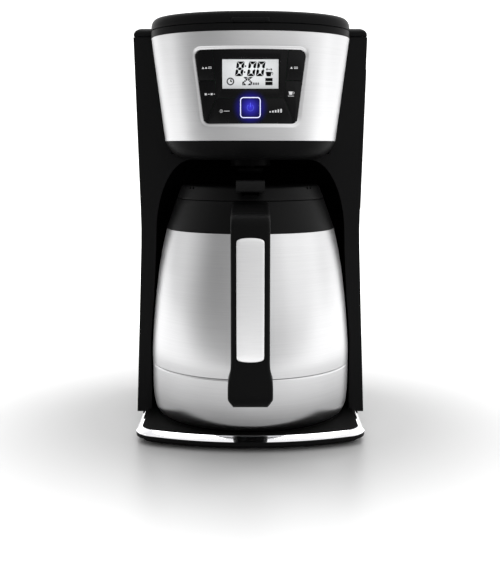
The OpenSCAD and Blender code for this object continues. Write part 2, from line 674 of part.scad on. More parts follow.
// outer radius of the steel body against height
carafe_pts = [[62, cz], [72, cz + 0.1], [77, cz + 0.8], [79.8, cz + 2.3], [81.8, 17.2], [83.2, 21.5], [84, 27], [84.45, 34], [84.65, 44], [84.75, 56.5]];
body_pts = [[84.75, 56.9], [84.8, 66], [84.3, 76], [83.6, 87], [82.5, 100.4], [81.2, 114], [79.6, 126.5],
  [78.0, 138.5], [76.6, 146], [75.6, 152.3], [73.9, 160.8], [72.4, 167], [71.4, 171.1]];

module carafe_base_cup() color(steel)
  translate([0, axis_y, 0]) rotate_extrude($fn = 160)
    polygon(concat([[20, cz + 1.8], [58, cz + 1.8], [60, cz]], carafe_pts,
      [for (k = [len(carafe_pts) - 1:-1:1]) [carafe_pts[k][0] - steel_t, carafe_pts[k][1] + (k < 4 ? steel_t : 0)]],
      [[62, cz + steel_t + 0.2], [60, cz + steel_t + 0.2], [58, cz + 2.6], [20, cz + 2.6]]));
module carafe_body() color(steel)
  translate([0, axis_y, 0]) rotate_extrude($fn = 160)
    polygon(concat(body_pts, [for (k = [len(body_pts) - 1:-1:0]) [body_pts[k][0] - steel_t, body_pts[k][1]]]));
flask_pts = [[55, 19], [68, 21], [75, 26], [78, 36], [78.5, 60], [77, 90], [74.5, 115], [71.5, 135], [66, 153], [60, 165], [57, 172], [56, 178], [56, 193]];
module carafe_flask() color(steel)
  translate([0, axis_y, 0]) rotate_extrude($fn = 128)
    polygon(concat([[0, 18]], flask_pts, [for (k = [len(flask_pts) - 1:-1:0]) [flask_pts[k][0] - steel_t, flask_pts[k][1] + (k < 3 ? steel_t : 0)]], [[0, 18 + steel_t]]));
module carafe_collar() color(black)
  difference() {
    translate([0, axis_y, 0]) rotate_extrude($fn = 160)
      polygon([[57.2, 176], [58, 172], [70, 171.3], [71.4, 171.3], [62.6, 196.2], [61.8, 196.5], [55.4, 196.5], [55.4, 193.2], [56.2, 193.2], [56.2, 178]]);
  }

// side view of the handle, y measured from the carafe's axis
hy = axis_y;
module handle_side() polygon(concat(
  [[-62, 196], [-84, 194], [-104, 191.4], [-116, 189.9]],
  arc(-119, 179.6, 10.4, 80, 180, 7),
  [[-129.4, 130], [-129.8, 90], [-130, 60]],
  arc(-121, 53.2, 9, 185, 262, 6),
  [[-104, 44.2], [-80, 45.3], [-80, 63]],
  arc(-103, 72.5, 9, -80, -180, 6),
  [[-111.6, 100], [-111.4, 140]],
  arc(-103, 164, 8.4, 180, 90, 6),
  [[-80, 173.5], [-62, 174.5]]));
module handle_wide() polygon([[-129.9, 80], [-130, 64.5], [-130, 54], [-127, 48], [-120, 44.6], [-104, 44.2], [-92, 44.7], [-92, 62.5], [-106, 65], [-111.6, 72], [-111.8, 80]]);

module carafe_handle() color(black)
  difference() {
    union() {
      translate([handle_w / 2, hy, 0]) rotate([90, 0, -90]) mirror([1, 0, 0]) linear_extrude(handle_w) handle_side();
      translate([0, hy, 0]) intersection() {
        translate([17, 0, 0]) rotate([90, 0, -90]) mirror([1, 0, 0]) linear_extrude(34) handle_wide();
        rotate([90, 0, 0]) linear_extrude(200) polygon([[-14.5, 80], [-16.3, 69], [-17, 61], [-17, 50.5], [-13, 44.1], [13, 44.1], [17, 50.5], [17, 61], [16.3, 69], [14.5, 80]]);
      }
    }
    // seat of the insert
    translate([-10.4, hy - 132, 80.8]) cube([20.8, 3.4, 92.8]);
    // clears the collar and the steel body
    translate([0, axis_y, 171.3 - 30]) cylinder(r1 = 71.5 + 10.7, r2 = 62.7 - 1.0, h = 30 + 24.9 + 3, $fn = 160);
    translate([0, axis_y, 40]) cylinder(r = 85, h = 60, $fn = 160);
    // screw holes
    translate([0, hy - 103, 55]) rotate([-90, 0, 0]) cylinder(r = 1.8, h = 30, $fn = 32);
    translate([0, hy - 116, 55]) rotate([-90, 0, 0]) cylinder(r = 3.6, h = 20, $fn = 32);
    translate([0, hy - 116, 55]) rotate([0, 0, 0]) translate([-3.6, 0, -12]) cube([7.2, 20, 12]);
  }
module handle_insert() color(steel)
  translate([0, hy, 0]) intersection() {
    translate([-10.2, -130, 81]) cube([20.4, 1.3, 92.4]);
    rotate([90, 0, 0]) linear_extrude(200) polygon(concat(
      arc(0, 81 + 24, 24, -90 - 25, -90 + 25, 8), [[10.2, 83.5], [10.2, 171]],
      arc(0, 173.4 - 24, 24, 90 - 25, 90 + 25, 8), [[-10.2, 171], [-10.2, 83.5]]));
  }
module handle_screws() color(steel)
  translate([0, hy, 0]) translate([0, -99, 55]) rotate([-90, 0, 0]) difference() {
    union() { cylinder(r = 3.4, h = 2.8, $fn = 32); cylinder(r = 1.6, h = 13.6, $fn = 32); }
    translate([-0.4, -2.2, -1]) cube([0.8, 4.4, 2]);
    translate([-2.2, -0.4, -1]) cube([4.4, 0.8, 2]);
  }

// carafe lid
module carafe_lid() color(black)
  difference() {
    union() {
      translate([0, axis_y, 0]) rotate_extrude($fn = 128)
        polygon([[56, 196.8], [62.2, 196.8], [62.2, 198.4], [58.6, 206.6], [57.6, 207.6], [56, 208], [30, 208], [14, 205.2], [4.2, 205.2], [4.2, 203.2], [14, 203.2],
          [30, 205.6], [55, 205.6], [56, 204.6]]);
      for (s = [-1, 1]) translate([s > 0 ? 7.2 : -10.2, axis_y - 55, 204]) cube([3, 6, 4.6]);
    }
    translate([-6.9, axis_y - 60, 200]) cube([13.8, 24, 20]);
    translate([-11.6, axis_y - 70, 203.6]) cube([23.2, 13, 20]);
    translate([-12, axis_y - 52, 206.4]) rotate([0, 90, 0]) cylinder(r = 1.25, h = 24, $fn = 24);
    translate([-6.9, axis_y - 40, 207.2]) cube([13.8, 34, 10]);
    for (a = [30:60:330]) rotate([0, 0, 0]) translate([11 * cos(a), axis_y + 11 * sin(a), 200]) cylinder(r = 2, h = 10, $fn = 24);
  }
module lid_stopper() color([0.12, 0.12, 0.12])
  translate([0, axis_y, 0]) rotate_extrude($fn = 128)
    polygon([[7.2, 178], [50, 178], [53.2, 181], [53.2, 185.9], [52, 185.9], [52, 189.1], [53.2, 189.1], [53.2, 196.7], [50.6, 196.7], [50.6, 182], [49, 180.2], [7.2, 180.2]]);
module lid_gasket() color([0.75, 0.75, 0.75])
  translate([0, axis_y, 0]) rotate_extrude($fn = 128) polygon([[52.1, 186], [54.2, 186], [55, 187.5], [54.2, 189], [52.1, 189]]);
module lever_pin() color(steel)
  translate([-9.9, axis_y - 52, 206.4]) rotate([0, 90, 0]) cylinder(r = 1.2, h = 19.8, $fn = 24);
module thumb_lever() color(black)
  translate([0, axis_y, 0]) difference() {
    union() {
      // thumb pad
      translate([11.2, 0, 0]) rotate([90, 0, -90]) mirror([1, 0, 0]) linear_extrude(22.4)
        polygon([[-80, 206], [-79.2, 204.6], [-77, 204.4], [-62, 205.2], [-60, 206.5], [-60, 211], [-62, 212.6], [-68, 213.8], [-76, 214], [-79.4, 213], [-80, 211.5]]);
      // arm to the pivot and tail under the valve yoke
      translate([6.3, 0, 0]) rotate([90, 0, -90]) mirror([1, 0, 0]) linear_extrude(12.6)
        polygon(concat([[-61, 206], [-56, 204.4]], [[-52, 203.8], [-38.4, 204.6], [-38.2, 206.6], [-49, 207.6], [-52, 209.2], [-58, 209.8], [-61, 209.8]]));
    }
    translate([-10, -52, 206.4]) rotate([0, 90, 0]) cylinder(r = 1.26, h = 20, $fn = 24);
  }
module pour_valve() color([0.2, 0.2, 0.2])
  translate([0, axis_y, 0]) union() {
    translate([0, 0, 180.5]) cylinder(r = 10, h = 2.4);
    translate([0, 0, 180.5]) cylinder(r = 3, h = 28, $fn = 32);
    translate([0, 0, 207.4]) cylinder(r = 6.2, h = 2.2, $fn = 32);
    translate([-4, -38.6, 207.6]) cube([8, 36, 1.9]);
  }
module valve_spring() color(steel) spring(6.5, 0.5, 183.1, 203.0, 5, 0, axis_y);

rubber_feet();
base_pan();
base_screws();
carafe_platform();
tray_trim();
tower_shell();
rear_cover();
bay_liner();
head_shell();
head_bowl();
steel_fascia();
control_bezel();
lcd_window();
lcd_module();
control_board();
power_light_ring();
basket_well();
top_deck();
lid_hinge_pins();
water_gauge_window();
sight_tube();
water_tank();
tank_valve();
inlet_hose();
heater();
heater_bracket();
thermostat();
thermal_fuse();
riser_hose();
spray_nozzle();
power_board();
cord_gland();
lid_cover();
lid_liner();
shower_head();
brew_basket();
drip_stop();
drip_stop_spring();
hour_button();
minute_button();
program_button();
cup_button();
auto_button();
strong_button();
power_button();
carafe_body();
carafe_base_cup();
carafe_flask();
carafe_collar();
carafe_handle();
handle_insert();
handle_screws();
carafe_lid();
lid_stopper();
lid_gasket();
lever_pin();
thumb_lever();
pour_valve();
valve_spring();
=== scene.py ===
import bpy, bmesh, math, json
import numpy as np
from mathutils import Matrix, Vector


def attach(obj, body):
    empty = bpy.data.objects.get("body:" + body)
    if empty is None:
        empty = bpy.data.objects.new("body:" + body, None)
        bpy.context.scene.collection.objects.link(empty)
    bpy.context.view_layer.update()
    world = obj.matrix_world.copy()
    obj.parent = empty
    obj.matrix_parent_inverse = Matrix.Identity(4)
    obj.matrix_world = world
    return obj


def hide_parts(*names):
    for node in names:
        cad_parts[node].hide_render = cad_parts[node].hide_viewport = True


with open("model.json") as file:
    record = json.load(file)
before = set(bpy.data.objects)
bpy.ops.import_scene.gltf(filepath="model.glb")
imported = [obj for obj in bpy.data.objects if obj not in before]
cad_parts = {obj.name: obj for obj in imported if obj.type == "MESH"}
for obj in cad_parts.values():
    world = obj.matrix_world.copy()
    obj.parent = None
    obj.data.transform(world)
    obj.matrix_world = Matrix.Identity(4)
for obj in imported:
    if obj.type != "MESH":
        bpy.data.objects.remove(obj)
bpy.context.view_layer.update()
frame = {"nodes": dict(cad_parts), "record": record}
RECORD_SLOT = {s["node"]: s["material_slot"] for s in frame["record"]["subparts"]}
BODY_OF = {n: b for b, ns in frame["record"]["behaviour"]["bodies"].items() for n in ns}

# ------------------------------------------------------------------ camera
cam_data = bpy.data.cameras.new("camera")
cam = bpy.data.objects.new("camera", cam_data)
bpy.context.scene.collection.objects.link(cam)
cam.location = (-0.0003, -0.850, 0.2375)
cam.rotation_euler = (math.radians(90 - 7.92), 0, 0)
cam_data.sensor_fit = "AUTO"
cam_data.sensor_width = 36
cam_data.lens = 61.66
cam_data.clip_start = 0.01
bpy.context.scene.camera = cam

# ------------------------------------------------------------------ materials
MATS = {}


def new_mat(name):
    m = bpy.data.materials.new(name)
    m.use_nodes = True
    MATS[name] = m
    nt = m.node_tree
    nt.nodes.clear()
    out = nt.nodes.new("ShaderNodeOutputMaterial")
    b = nt.nodes.new("ShaderNodeBsdfPrincipled")
    nt.links.new(b.outputs[0], out.inputs[0])
    return m, nt, b


def coords(nt, scale=(1, 1, 1)):
    """Object coordinates in millimetres, stretched."""
    tc = nt.nodes.new("ShaderNodeTexCoord")
    mp = nt.nodes.new("ShaderNodeMapping")
    mp.inputs["Scale"].default_value = [1000 * s for s in scale]
    nt.links.new(tc.outputs["Object"], mp.inputs["Vector"])
    return mp.outputs[0]


def noise(nt, vec, scale, detail=2.0, rough=0.5):
    n = nt.nodes.new("ShaderNodeTexNoise")
    n.inputs["Scale"].default_value = scale
    n.inputs["Detail"].default_value = detail
    n.inputs["Roughness"].default_value = rough
    nt.links.new(vec, n.inputs["Vector"])
    return n.outputs["Fac"]


def remap(nt, fac, lo, hi, a=0.0, b=1.0):
    r = nt.nodes.new("ShaderNodeMapRange")
    r.inputs["From Min"].default_value = a
    r.inputs["From Max"].default_value = b
    r.inputs["To Min"].default_value = lo
    r.inputs["To Max"].default_value = hi
    nt.links.new(fac, r.inputs["Value"])
    return r.outputs[0]


def mix_col(nt, fac, c0, c1):
    m = nt.nodes.new("ShaderNodeMix")
    m.data_type = "RGBA"
    m.inputs[6].default_value = (*c0, 1)
    m.inputs[7].default_value = (*c1, 1)
    nt.links.new(fac, m.inputs[0])
    return m.outputs[2]


def bump(nt, bsdf, height, strength, dist):
    b = nt.nodes.new("ShaderNodeBump")
    b.inputs["Strength"].default_value = strength
    b.inputs["Distance"].default_value = dist
    nt.links.new(height, b.inputs["Height"])
    nt.links.new(b.outputs[0], bsdf.inputs["Normal"])
    return b


def plastic(name, c0, c1, rough=(0.3, 0.4), grain=1.2, strength=0.12, spec=0.4, coat=0.0):
    """Moulded plastic: fine spark grain, faint cloudiness in colour and gloss."""
    m, nt, b = new_mat(name)
    v = coords(nt)
    n1 = noise(nt, v, grain, 3)
    n2 = noise(nt, v, 0.035, 2)
    nt.links.new(mix_col(nt, n2, c0, c1), b.inputs["Base Color"])
    mx = nt.nodes.new("ShaderNodeMath")
    mx.operation = "MULTIPLY_ADD"
    nt.links.new(n1, mx.inputs[0])
    mx.inputs[1].default_value = 0.5
    nt.links.new(n2, mx.inputs[2])
    nt.links.new(remap(nt, mx.outputs[0], rough[0], rough[1], 0.4, 1.0), b.inputs["Roughness"])
    b.inputs["Specular IOR Level"].default_value = spec
    b.inputs["Coat Weight"].default_value = coat
    b.inputs["Coat Roughness"].default_value = 0.08
    if strength:
        bump(nt, b, n1, strength, 0.00006)
    return m


def brushed(name, c0, c1, stretch, rough=(0.24, 0.36), strength=0.25, aniso=0.6, fine=2.6):
    """Brushed steel: long fine scratches across the grain, broad soft clouding."""
    m, nt, b = new_mat(name)
    v = coords(nt, stretch)
    n1 = noise(nt, v, fine, 4, 0.65)
    v2 = coords(nt, tuple(s * 0.35 for s in stretch))
    n2 = noise(nt, v2, fine, 2, 0.6)
    n3 = noise(nt, coords(nt), 0.02, 2)
    a = nt.nodes.new("ShaderNodeMath"); a.operation = "MULTIPLY_ADD"
    nt.links.new(n2, a.inputs[0]); a.inputs[1].default_value = 0.6
    nt.links.new(n1, a.inputs[2])
    s = nt.nodes.new("ShaderNodeMath"); s.operation = "MULTIPLY_ADD"
    nt.links.new(n3, s.inputs[0]); s.inputs[1].default_value = 0.2
    nt.links.new(a.outputs[0], s.inputs[2])
    f = remap(nt, s.outputs[0], 0, 1, 0.6, 1.2)
    nt.links.new(mix_col(nt, f, c0, c1), b.inputs["Base Color"])
    nt.links.new(remap(nt, s.outputs[0], rough[0], rough[1], 0.6, 1.2), b.inputs["Roughness"])
    b.inputs["Metallic"].default_value = 1.0
    b.inputs["Anisotropic"].default_value = aniso
    t = nt.nodes.new("ShaderNodeTangent")
    t.direction_type = "RADIAL"
    t.axis = "Z"
    nt.links.new(t.outputs[0], b.inputs["Tangent"])
    bump(nt, b, a.outputs[0], strength, 0.00004)
    return m


plastic("black_plastic", (0.0052, 0.0052, 0.0054), (0.0068, 0.0068, 0.0070), (0.34, 0.42), 1.6, 0.08, 0.03)
plastic("bowl_black", (0.0030, 0.0030, 0.0031), (0.0042, 0.0042, 0.0043), (0.34, 0.42), 1.6, 0.08, 0.03)
plastic("lever_plastic", (0.0050, 0.0050, 0.0052), (0.0066, 0.0066, 0.0068), (0.32, 0.40), 2.0, 0.10, 0.10)
plastic("tower_black", (0.0026, 0.0026, 0.0028), (0.0038, 0.0038, 0.0040), (0.34, 0.44), 1.8, 0.10, 0.08)
plastic("satin_plastic", (0.0035, 0.0035, 0.0037), (0.005, 0.005, 0.0053), (0.42, 0.52), 2.2, 0.14, 0.10)
plastic("bay_plastic", (0.0012, 0.0012, 0.0012), (0.002, 0.002, 0.002), (0.6, 0.72), 2.0, 0.2, 0.05)
plastic("carafe_plastic", (0.0022, 0.0022, 0.0023), (0.0034, 0.0034, 0.0035), (0.40, 0.50), 2.4, 0.12, 0.085)
plastic("handle_plastic", (0.0026, 0.0026, 0.0027), (0.0038, 0.0038, 0.0039), (0.38, 0.48), 2.4, 0.12, 0.05)
panel_mat = plastic("panel_gloss", (0.0022, 0.0022, 0.0025), (0.0032, 0.0032, 0.0035), (0.2, 0.28), 0.8, 0.02, 0.10)
plastic("tank_plastic", (0.03, 0.03, 0.033), (0.045, 0.045, 0.048), (0.2, 0.3), 0.8, 0.05, 0.5)
plastic("white_plastic", (0.62, 0.62, 0.58), (0.7, 0.7, 0.66), (0.4, 0.5), 1.5, 0.1, 0.5)
plastic("rubber", (0.012, 0.012, 0.012), (0.02, 0.02, 0.02), (0.75, 0.85), 2.5, 0.3, 0.2)
plastic("silicone_hose", (0.55, 0.55, 0.5), (0.66, 0.66, 0.61), (0.45, 0.55), 1.2, 0.1, 0.4)
plastic("circuit_board", (0.012, 0.11, 0.05), (0.02, 0.15, 0.07), (0.3, 0.4), 0.6, 0.05, 0.5)

brushed("fascia_steel", (0.56, 0.56, 0.565), (0.62, 0.62, 0.625), (0.010, 0.010, 1.0), (0.29, 0.35), 0.08, 0.6, 3.4)
brushed("carafe_steel", (0.53, 0.53, 0.535), (0.59, 0.59, 0.595), (0.008, 0.008, 1.0), (0.28, 0.34), 0.07, 0.6, 3.2)
brushed("insert_steel", (0.77, 0.77, 0.775), (0.84, 0.84, 0.845), (0.02, 0.02, 1.0), (0.30, 0.36), 0.08, 0.5, 3.2)
brushed("flask_steel", (0.42, 0.42, 0.425), (0.5, 0.5, 0.505), (0.02, 0.02, 0.6), (0.2, 0.3), 0.1, 0.3, 1.5)
brushed("screw_steel", (0.42, 0.42, 0.43), (0.55, 0.55, 0.56), (0.3, 0.3, 0.3), (0.25, 0.35), 0.1, 0.0, 2.0)
brushed("spring_steel", (0.16, 0.16, 0.165), (0.22, 0.22, 0.225), (0.5, 0.5, 0.5), (0.22, 0.3), 0.05, 0.0, 2.0)
brushed("heater_aluminium", (0.55, 0.55, 0.56), (0.68, 0.68, 0.69), (0.4, 0.4, 0.4), (0.4, 0.5), 0.3, 0.0, 2.0)

m, nt, b = new_mat("chrome_trim")
n = noise(nt, coords(nt), 0.12, 2)
nt.links.new(mix_col(nt, n, (0.78, 0.78, 0.8), (0.86, 0.86, 0.88)), b.inputs["Base Color"])
nt.links.new(remap(nt, n, 0.05, 0.09), b.inputs["Roughness"])
b.inputs["Metallic"].default_value = 1.0


def glassy(name, c0, c1, alpha, rough=0.04):
    m, nt, b = new_mat(name)
    n = noise(nt, coords(nt), 0.08, 2)
    nt.links.new(mix_col(nt, n, c0, c1), b.inputs["Base Color"])
    nt.links.new(remap(nt, n, rough, rough + 0.03), b.inputs["Roughness"])
    b.inputs["Alpha"].default_value = alpha
    b.inputs["Specular IOR Level"].default_value = 0.3
    return m


glassy("lcd_glass", (0.02, 0.02, 0.021), (0.03, 0.03, 0.031), 0.05)
glassy("gauge_smoke", (0.01, 0.01, 0.011), (0.016, 0.016, 0.017), 0.82)
glassy("clear_tube", (0.85, 0.88, 0.9), (0.9, 0.92, 0.94), 0.3)


def lit(name, c0, c1, colour, lo, hi, centre=None, radius=6.0):
    """Lit plastic. With a centre, the light falls off round it."""
    m, nt, b = new_mat(name)
    n = noise(nt, coords(nt), 0.5, 2)
    nt.links.new(mix_col(nt, n, c0, c1), b.inputs["Base Color"])
    nt.links.new(remap(nt, n, 0.3, 0.36), b.inputs["Roughness"])
    b.inputs["Specular IOR Level"].default_value = 0.02
    b.inputs["Emission Color"].default_value = (*colour, 1)
    if centre is None:
        nt.links.new(remap(nt, n, lo, hi), b.inputs["Emission Strength"])
    else:
        v = coords(nt)
        d = nt.nodes.new("ShaderNodeVectorMath"); d.operation = "DISTANCE"
        nt.links.new(v, d.inputs[0])
        d.inputs[1].default_value = centre
        f = nt.nodes.new("ShaderNodeMath"); f.operation = "POWER"
        nt.links.new(remap(nt, d.outputs["Value"], 1.0, 0.0, 0.0, radius), f.inputs[0]); f.inputs[1].default_value = 1.6
        nt.links.new(remap(nt, f.outputs[0], lo, hi), b.inputs["Emission Strength"])
    return m


# painted glow: close to the lit key the panel is given the key's colour as emission, standing for the key's light
# falling on it
nt = panel_mat.node_tree
b = [q for q in nt.nodes if q.type == "BSDF_PRINCIPLED"][0]
d = nt.nodes.new("ShaderNodeVectorMath"); d.operation = "DISTANCE"
nt.links.new(coords(nt), d.inputs[0])
d.inputs[1].default_value = (0, -94, 269.1)
f = nt.nodes.new("ShaderNodeMath"); f.operation = "POWER"
nt.links.new(remap(nt, d.outputs["Value"], 1.0, 0.0, 8.0, 15.0), f.inputs[0]); f.inputs[1].default_value = 2.2
b.inputs["Emission Color"].default_value = (0.02, 0.012, 0.5, 1)
nt.links.new(remap(nt, f.outputs[0], 0.0, 0.42), b.inputs["Emission Strength"])

# the lcd face: pale grey green, a little brighter to the right as the light leaks in
m, nt, b = new_mat("lcd_face")
tc = coords(nt)
sx = nt.nodes.new("ShaderNodeSeparateXYZ")
nt.links.new(tc, sx.inputs[0])
nx = noise(nt, tc, 3.0, 2)
gx = remap(nt, sx.outputs[2], 0.0, 1.0, 283, 305)
f = nt.nodes.new("ShaderNodeMath"); f.operation = "MULTIPLY_ADD"
nt.links.new(nx, f.inputs[0]); f.inputs[1].default_value = 0.12
nt.links.new(gx, f.inputs[2])
nt.links.new(mix_col(nt, f.outputs[0], (0.60, 0.61, 0.62), (0.72, 0.73, 0.735)), b.inputs["Base Color"])
nt.links.new(remap(nt, nx, 0.4, 0.5), b.inputs["Roughness"])
b.inputs["Emission Color"].default_value = (0.9, 0.93, 0.95, 1)
d = nt.nodes.new("ShaderNodeVectorMath"); d.operation = "DISTANCE"
nt.links.new(coords(nt), d.inputs[0])
d.inputs[1].default_value = (0, -94, 296)
nt.links.new(remap(nt, d.outputs["Value"], 0.42, 0.20, 2.0, 22.0), b.inputs["Emission Strength"])
plastic("lcd_ink", (0.001, 0.001, 0.0012), (0.002, 0.002, 0.0022), (0.5, 0.6), 2, 0.0, 0.03)
plastic("print_white", (0.62, 0.62, 0.63), (0.72, 0.72, 0.73), (0.5, 0.6), 2, 0.0, 0.2)
lit("light_ring", (0.5, 0.52, 0.8), (0.6, 0.62, 0.9), (0.74, 0.74, 1.0), 0.68, 0.86)
lit("power_blue", (0.004, 0.004, 0.03), (0.006, 0.006, 0.04), (0.055, 0.045, 0.74), 0.06, 1.0, (0, -94, 269.6), 9.0)
lit("power_mark", (0.04, 0.05, 0.3), (0.05, 0.06, 0.4), (0.10, 0.12, 1.0), 0.2, 0.8, (0, -94, 270.6), 5.0)

SLOT_MAT = {s: MATS[s] for s in set(RECORD_SLOT.values()) if s in MATS}
for node, o in frame["nodes"].items():
    o.data.materials.clear()
    o.data.materials.append(MATS[RECORD_SLOT[node]])

# painted shade: the drip stop's spring gets the near-black bay plastic, standing for the shade it sits in, in sight
# under the head
frame["nodes"]["drip_stop_spring"].data.materials[0] = MATS["bay_plastic"]

# ------------------------------------------------------------------ mesh helpers
COL = bpy.context.scene.collection


def finish_mesh(ob, angle=35):
    me = ob.data
    me.shade_smooth()
    me.set_sharp_from_angle(angle=math.radians(angle))


def make(name, verts, faces, mat, body, repl=(), slot=None, angle=35, recalc=True, extra=()):
    """A closed mesh from points in millimetres."""
    me = bpy.data.meshes.new(name)
    me.from_pydata([(x * 0.001, y * 0.001, z * 0.001) for x, y, z in verts], [], faces)
    if recalc:
        bm = bmesh.new(); bm.from_mesh(me)
        bmesh.ops.remove_doubles(bm, verts=bm.verts, dist=1e-7)
        bmesh.ops.recalc_face_normals(bm, faces=bm.faces)
        bm.to_mesh(me); bm.free()
    me.update()
    ob = bpy.data.objects.new(name, me)
    COL.objects.link(ob)
    me.materials.append(MATS[mat])
    for x in extra:
        me.materials.append(MATS[x])
    finish_mesh(ob, angle)
    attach(ob, body)
    if repl:
        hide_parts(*repl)
    return ob


def bevel_mod(ob, width, segs=3, angle=35, wn=True):
    m = ob.modifiers.new("bevel", "BEVEL")
    m.width = width * 0.001
    m.segments = segs
    m.limit_method = "ANGLE"
    m.angle_limit = math.radians(angle)
    m.use_clamp_overlap = True
    m.miter_outer = "MITER_ARC"
    if wn:
        w = ob.modifiers.new("normals", "WEIGHTED_NORMAL")
        w.keep_sharp = False
        w.weight = 60
    return ob


def cad_copy(node, mat=None, bevel=0.6, segs=2, angle=32, smooth=38, name=None, merge=0.6):
    """A finished copy of a CAD node: flat faces merged, sharp edges rounded."""
    src = frame["nodes"][node].data
    bm = bmesh.new()
    vs = [bm.verts.new(v.co) for v in src.vertices]
    for p in src.polygons:
        try:
            bm.faces.new([vs[i] for i in p.vertices])
        except ValueError:
            pass
    bmesh.ops.remove_doubles(bm, verts=bm.verts, dist=2e-6)
    if merge:
        bmesh.ops.dissolve_limit(bm, angle_limit=math.radians(merge), verts=bm.verts, edges=bm.edges)
    bmesh.ops.recalc_face_normals(bm, faces=bm.faces)
    me = bpy.data.meshes.new((name or node) + "_mesh")
    bm.to_mesh(me); bm.free()
    ob = bpy.data.objects.new(name or node + "_finished", me)
    COL.objects.link(ob)
    me.materials.append(MATS[mat or RECORD_SLOT[node]])
    finish_mesh(ob, smooth)
    if bevel:
        bevel_mod(ob, bevel, segs, angle)
    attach(ob, BODY_OF[node])
    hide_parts(node)
    return ob


def rings_mesh(rings, cap0=True, cap1=True, closed=True):
    """Faces that join rings of equally many points."""
    n = len(rings[0])
    verts = [tuple(p) for r in rings for p in r]
    faces = []
    for k in range(len(rings) - 1):
        for i in range(n if closed else n - 1):
            a, b2 = k * n + i, k * n + (i + 1) % n
            faces.append((a, b2, b2 + n, a + n))
    if cap0:
        faces.append(tuple(range(n)))
    if cap1:
        faces.append(tuple(range((len(rings) - 1) * n, len(rings) * n)))
    return verts, faces


def lathe(profile, cx=0.0, cy=-10.0, n=192, close=False):
    """Profile points (r, z) turned about a vertical axis. r = 0 ends become poles."""
    verts, faces = [], []
    idx = []
    for r, z in profile:
        if r < 1e-6:
            idx.append([len(verts)]); verts.append((cx, cy, z))
        else:
            base = len(verts)
            idx.append([base + i for i in range(n)])
            verts += [(cx + r * math.cos(2 * math.pi * i / n), cy + r * math.sin(2 * math.pi * i / n), z) for i in range(n)]
    m = len(profile)
    for k in range(m if close else m - 1):
        a, b2 = idx[k], idx[(k + 1) % m]
        if len(a) == 1 and len(b2) == 1:
            continue
        for i in range(n):
            j = (i + 1) % n
            if len(a) == 1:
                faces.append((a[0], b2[i], b2[j]))
            elif len(b2) == 1:
                faces.append((a[i], a[j], b2[0]))
            else:
                faces.append((a[i], a[j], b2[j], b2[i]))
    return verts, faces


def spline(pts, per=6):
    """Catmull-Rom through the points."""
    P = np.array(pts, float)
    out = []
    for i in range(len(P) - 1):
        p0 = P[max(i - 1, 0)]; p1 = P[i]; p2 = P[i + 1]; p3 = P[min(i + 2, len(P) - 1)]
        d1 = np.linalg.norm(p2 - p1) or 1
        t1 = (p2 - p0) / max(np.linalg.norm(p1 - p0) + d1, 1e-6) * d1 if i > 0 else (p2 - p1)
        t2 = (p3 - p1) / max(np.linalg.norm(p3 - p2) + d1, 1e-6) * d1 if i < len(P) - 2 else (p2 - p1)
        for k in range(per):
            t = k / per
            h00 = 2 * t**3 - 3 * t**2 + 1; h10 = t**3 - 2 * t**2 + t
            h01 = -2 * t**3 + 3 * t**2; h11 = t**3 - t**2
            out.append(tuple(h00 * p1 + h10 * t1 + h01 * p2 + h11 * t2))
    out.append(tuple(P[-1]))
    return out


def arc(cx, cy, r, a0, a1, n, ry=None):
    ry = r if ry is None else ry
    return [(cx + r * math.cos(math.radians(a0 + (a1 - a0) * i / n)), cy + ry * math.sin(math.radians(a0 + (a1 - a0) * i / n))) for i in range(n + 1)]


def boolean(ob, cutter, op="DIFFERENCE"):
    m = ob.modifiers.new("bool", "BOOLEAN")
    m.object = cutter
    m.operation = op
    m.solver = "EXACT"
    bpy.context.view_layer.update()
    dg = bpy.context.evaluated_depsgraph_get()
    me = bpy.data.meshes.new_from_object(ob.evaluated_get(dg))
    ob.modifiers.remove(m)
    old = ob.data
    ob.data = me
    bpy.data.meshes.remove(old)
    bpy.data.objects.remove(cutter)


def raw(name, verts, faces):
    me = bpy.data.meshes.new(name)
    me.from_pydata([(x * 0.001, y * 0.001, z * 0.001) for x, y, z in verts], [], faces)
    bm = bmesh.new(); bm.from_mesh(me)
    bmesh.ops.remove_doubles(bm, verts=bm.verts, dist=1e-7)
    bmesh.ops.recalc_face_normals(bm, faces=bm.faces)
    bm.to_mesh(me); bm.free()
    ob = bpy.data.objects.new(name, me)
    COL.objects.link(ob)
    return ob


def adopt(ob, mat, body, repl=(), angle=35):
    ob.data.materials.clear()
    ob.data.materials.append(MATS[mat])
    finish_mesh(ob, angle)
    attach(ob, body)
    if repl:
        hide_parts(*repl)
    return ob


# ------------------------------------------------------------------ head surface
HW, HD, HN, HY = 80.0, 65.0, 2.15, -35.0
Z0, Z1 = 244.1, 325.8


def hs(z):
    return 0.8714 + (1 - 0.8714) * (z - Z0) / (Z1 - Z0)


def head_point(s, z, inset, scale=None, yb=-15.2):
    """s = 0 is the front, |s| = 1 the widest point, beyond that the straight side back to yb at |s| = 1.25."""
    k = hs(z) if scale is None else scale
    a, b2 = HW * k - inset, HD * k - inset
    q = abs(s)
    if q <= 1:
        t = math.radians(90 * (1 - q))
        x = a * abs(math.cos(t)) ** (2 / HN) if q > 0 else 0.0
        y = HY - b2 * abs(math.sin(t)) ** (2 / HN)
    else:
        x = a
        y = HY + (yb - HY) * (q - 1) / 0.25
    return (math.copysign(x, s) if s else 0.0, y, z)


def s_of_x(x, z, inset=0.0):
    a = HW * hs(z) - inset
    c = min(1.0, abs(x) / a)
    return math.copysign(1 - math.degrees(math.acos(c ** (HN / 2))) / 90, x)


def surf_y(x, z, inset=0.0):
    return head_point(s_of_x(x, z, inset), z, inset)[1]


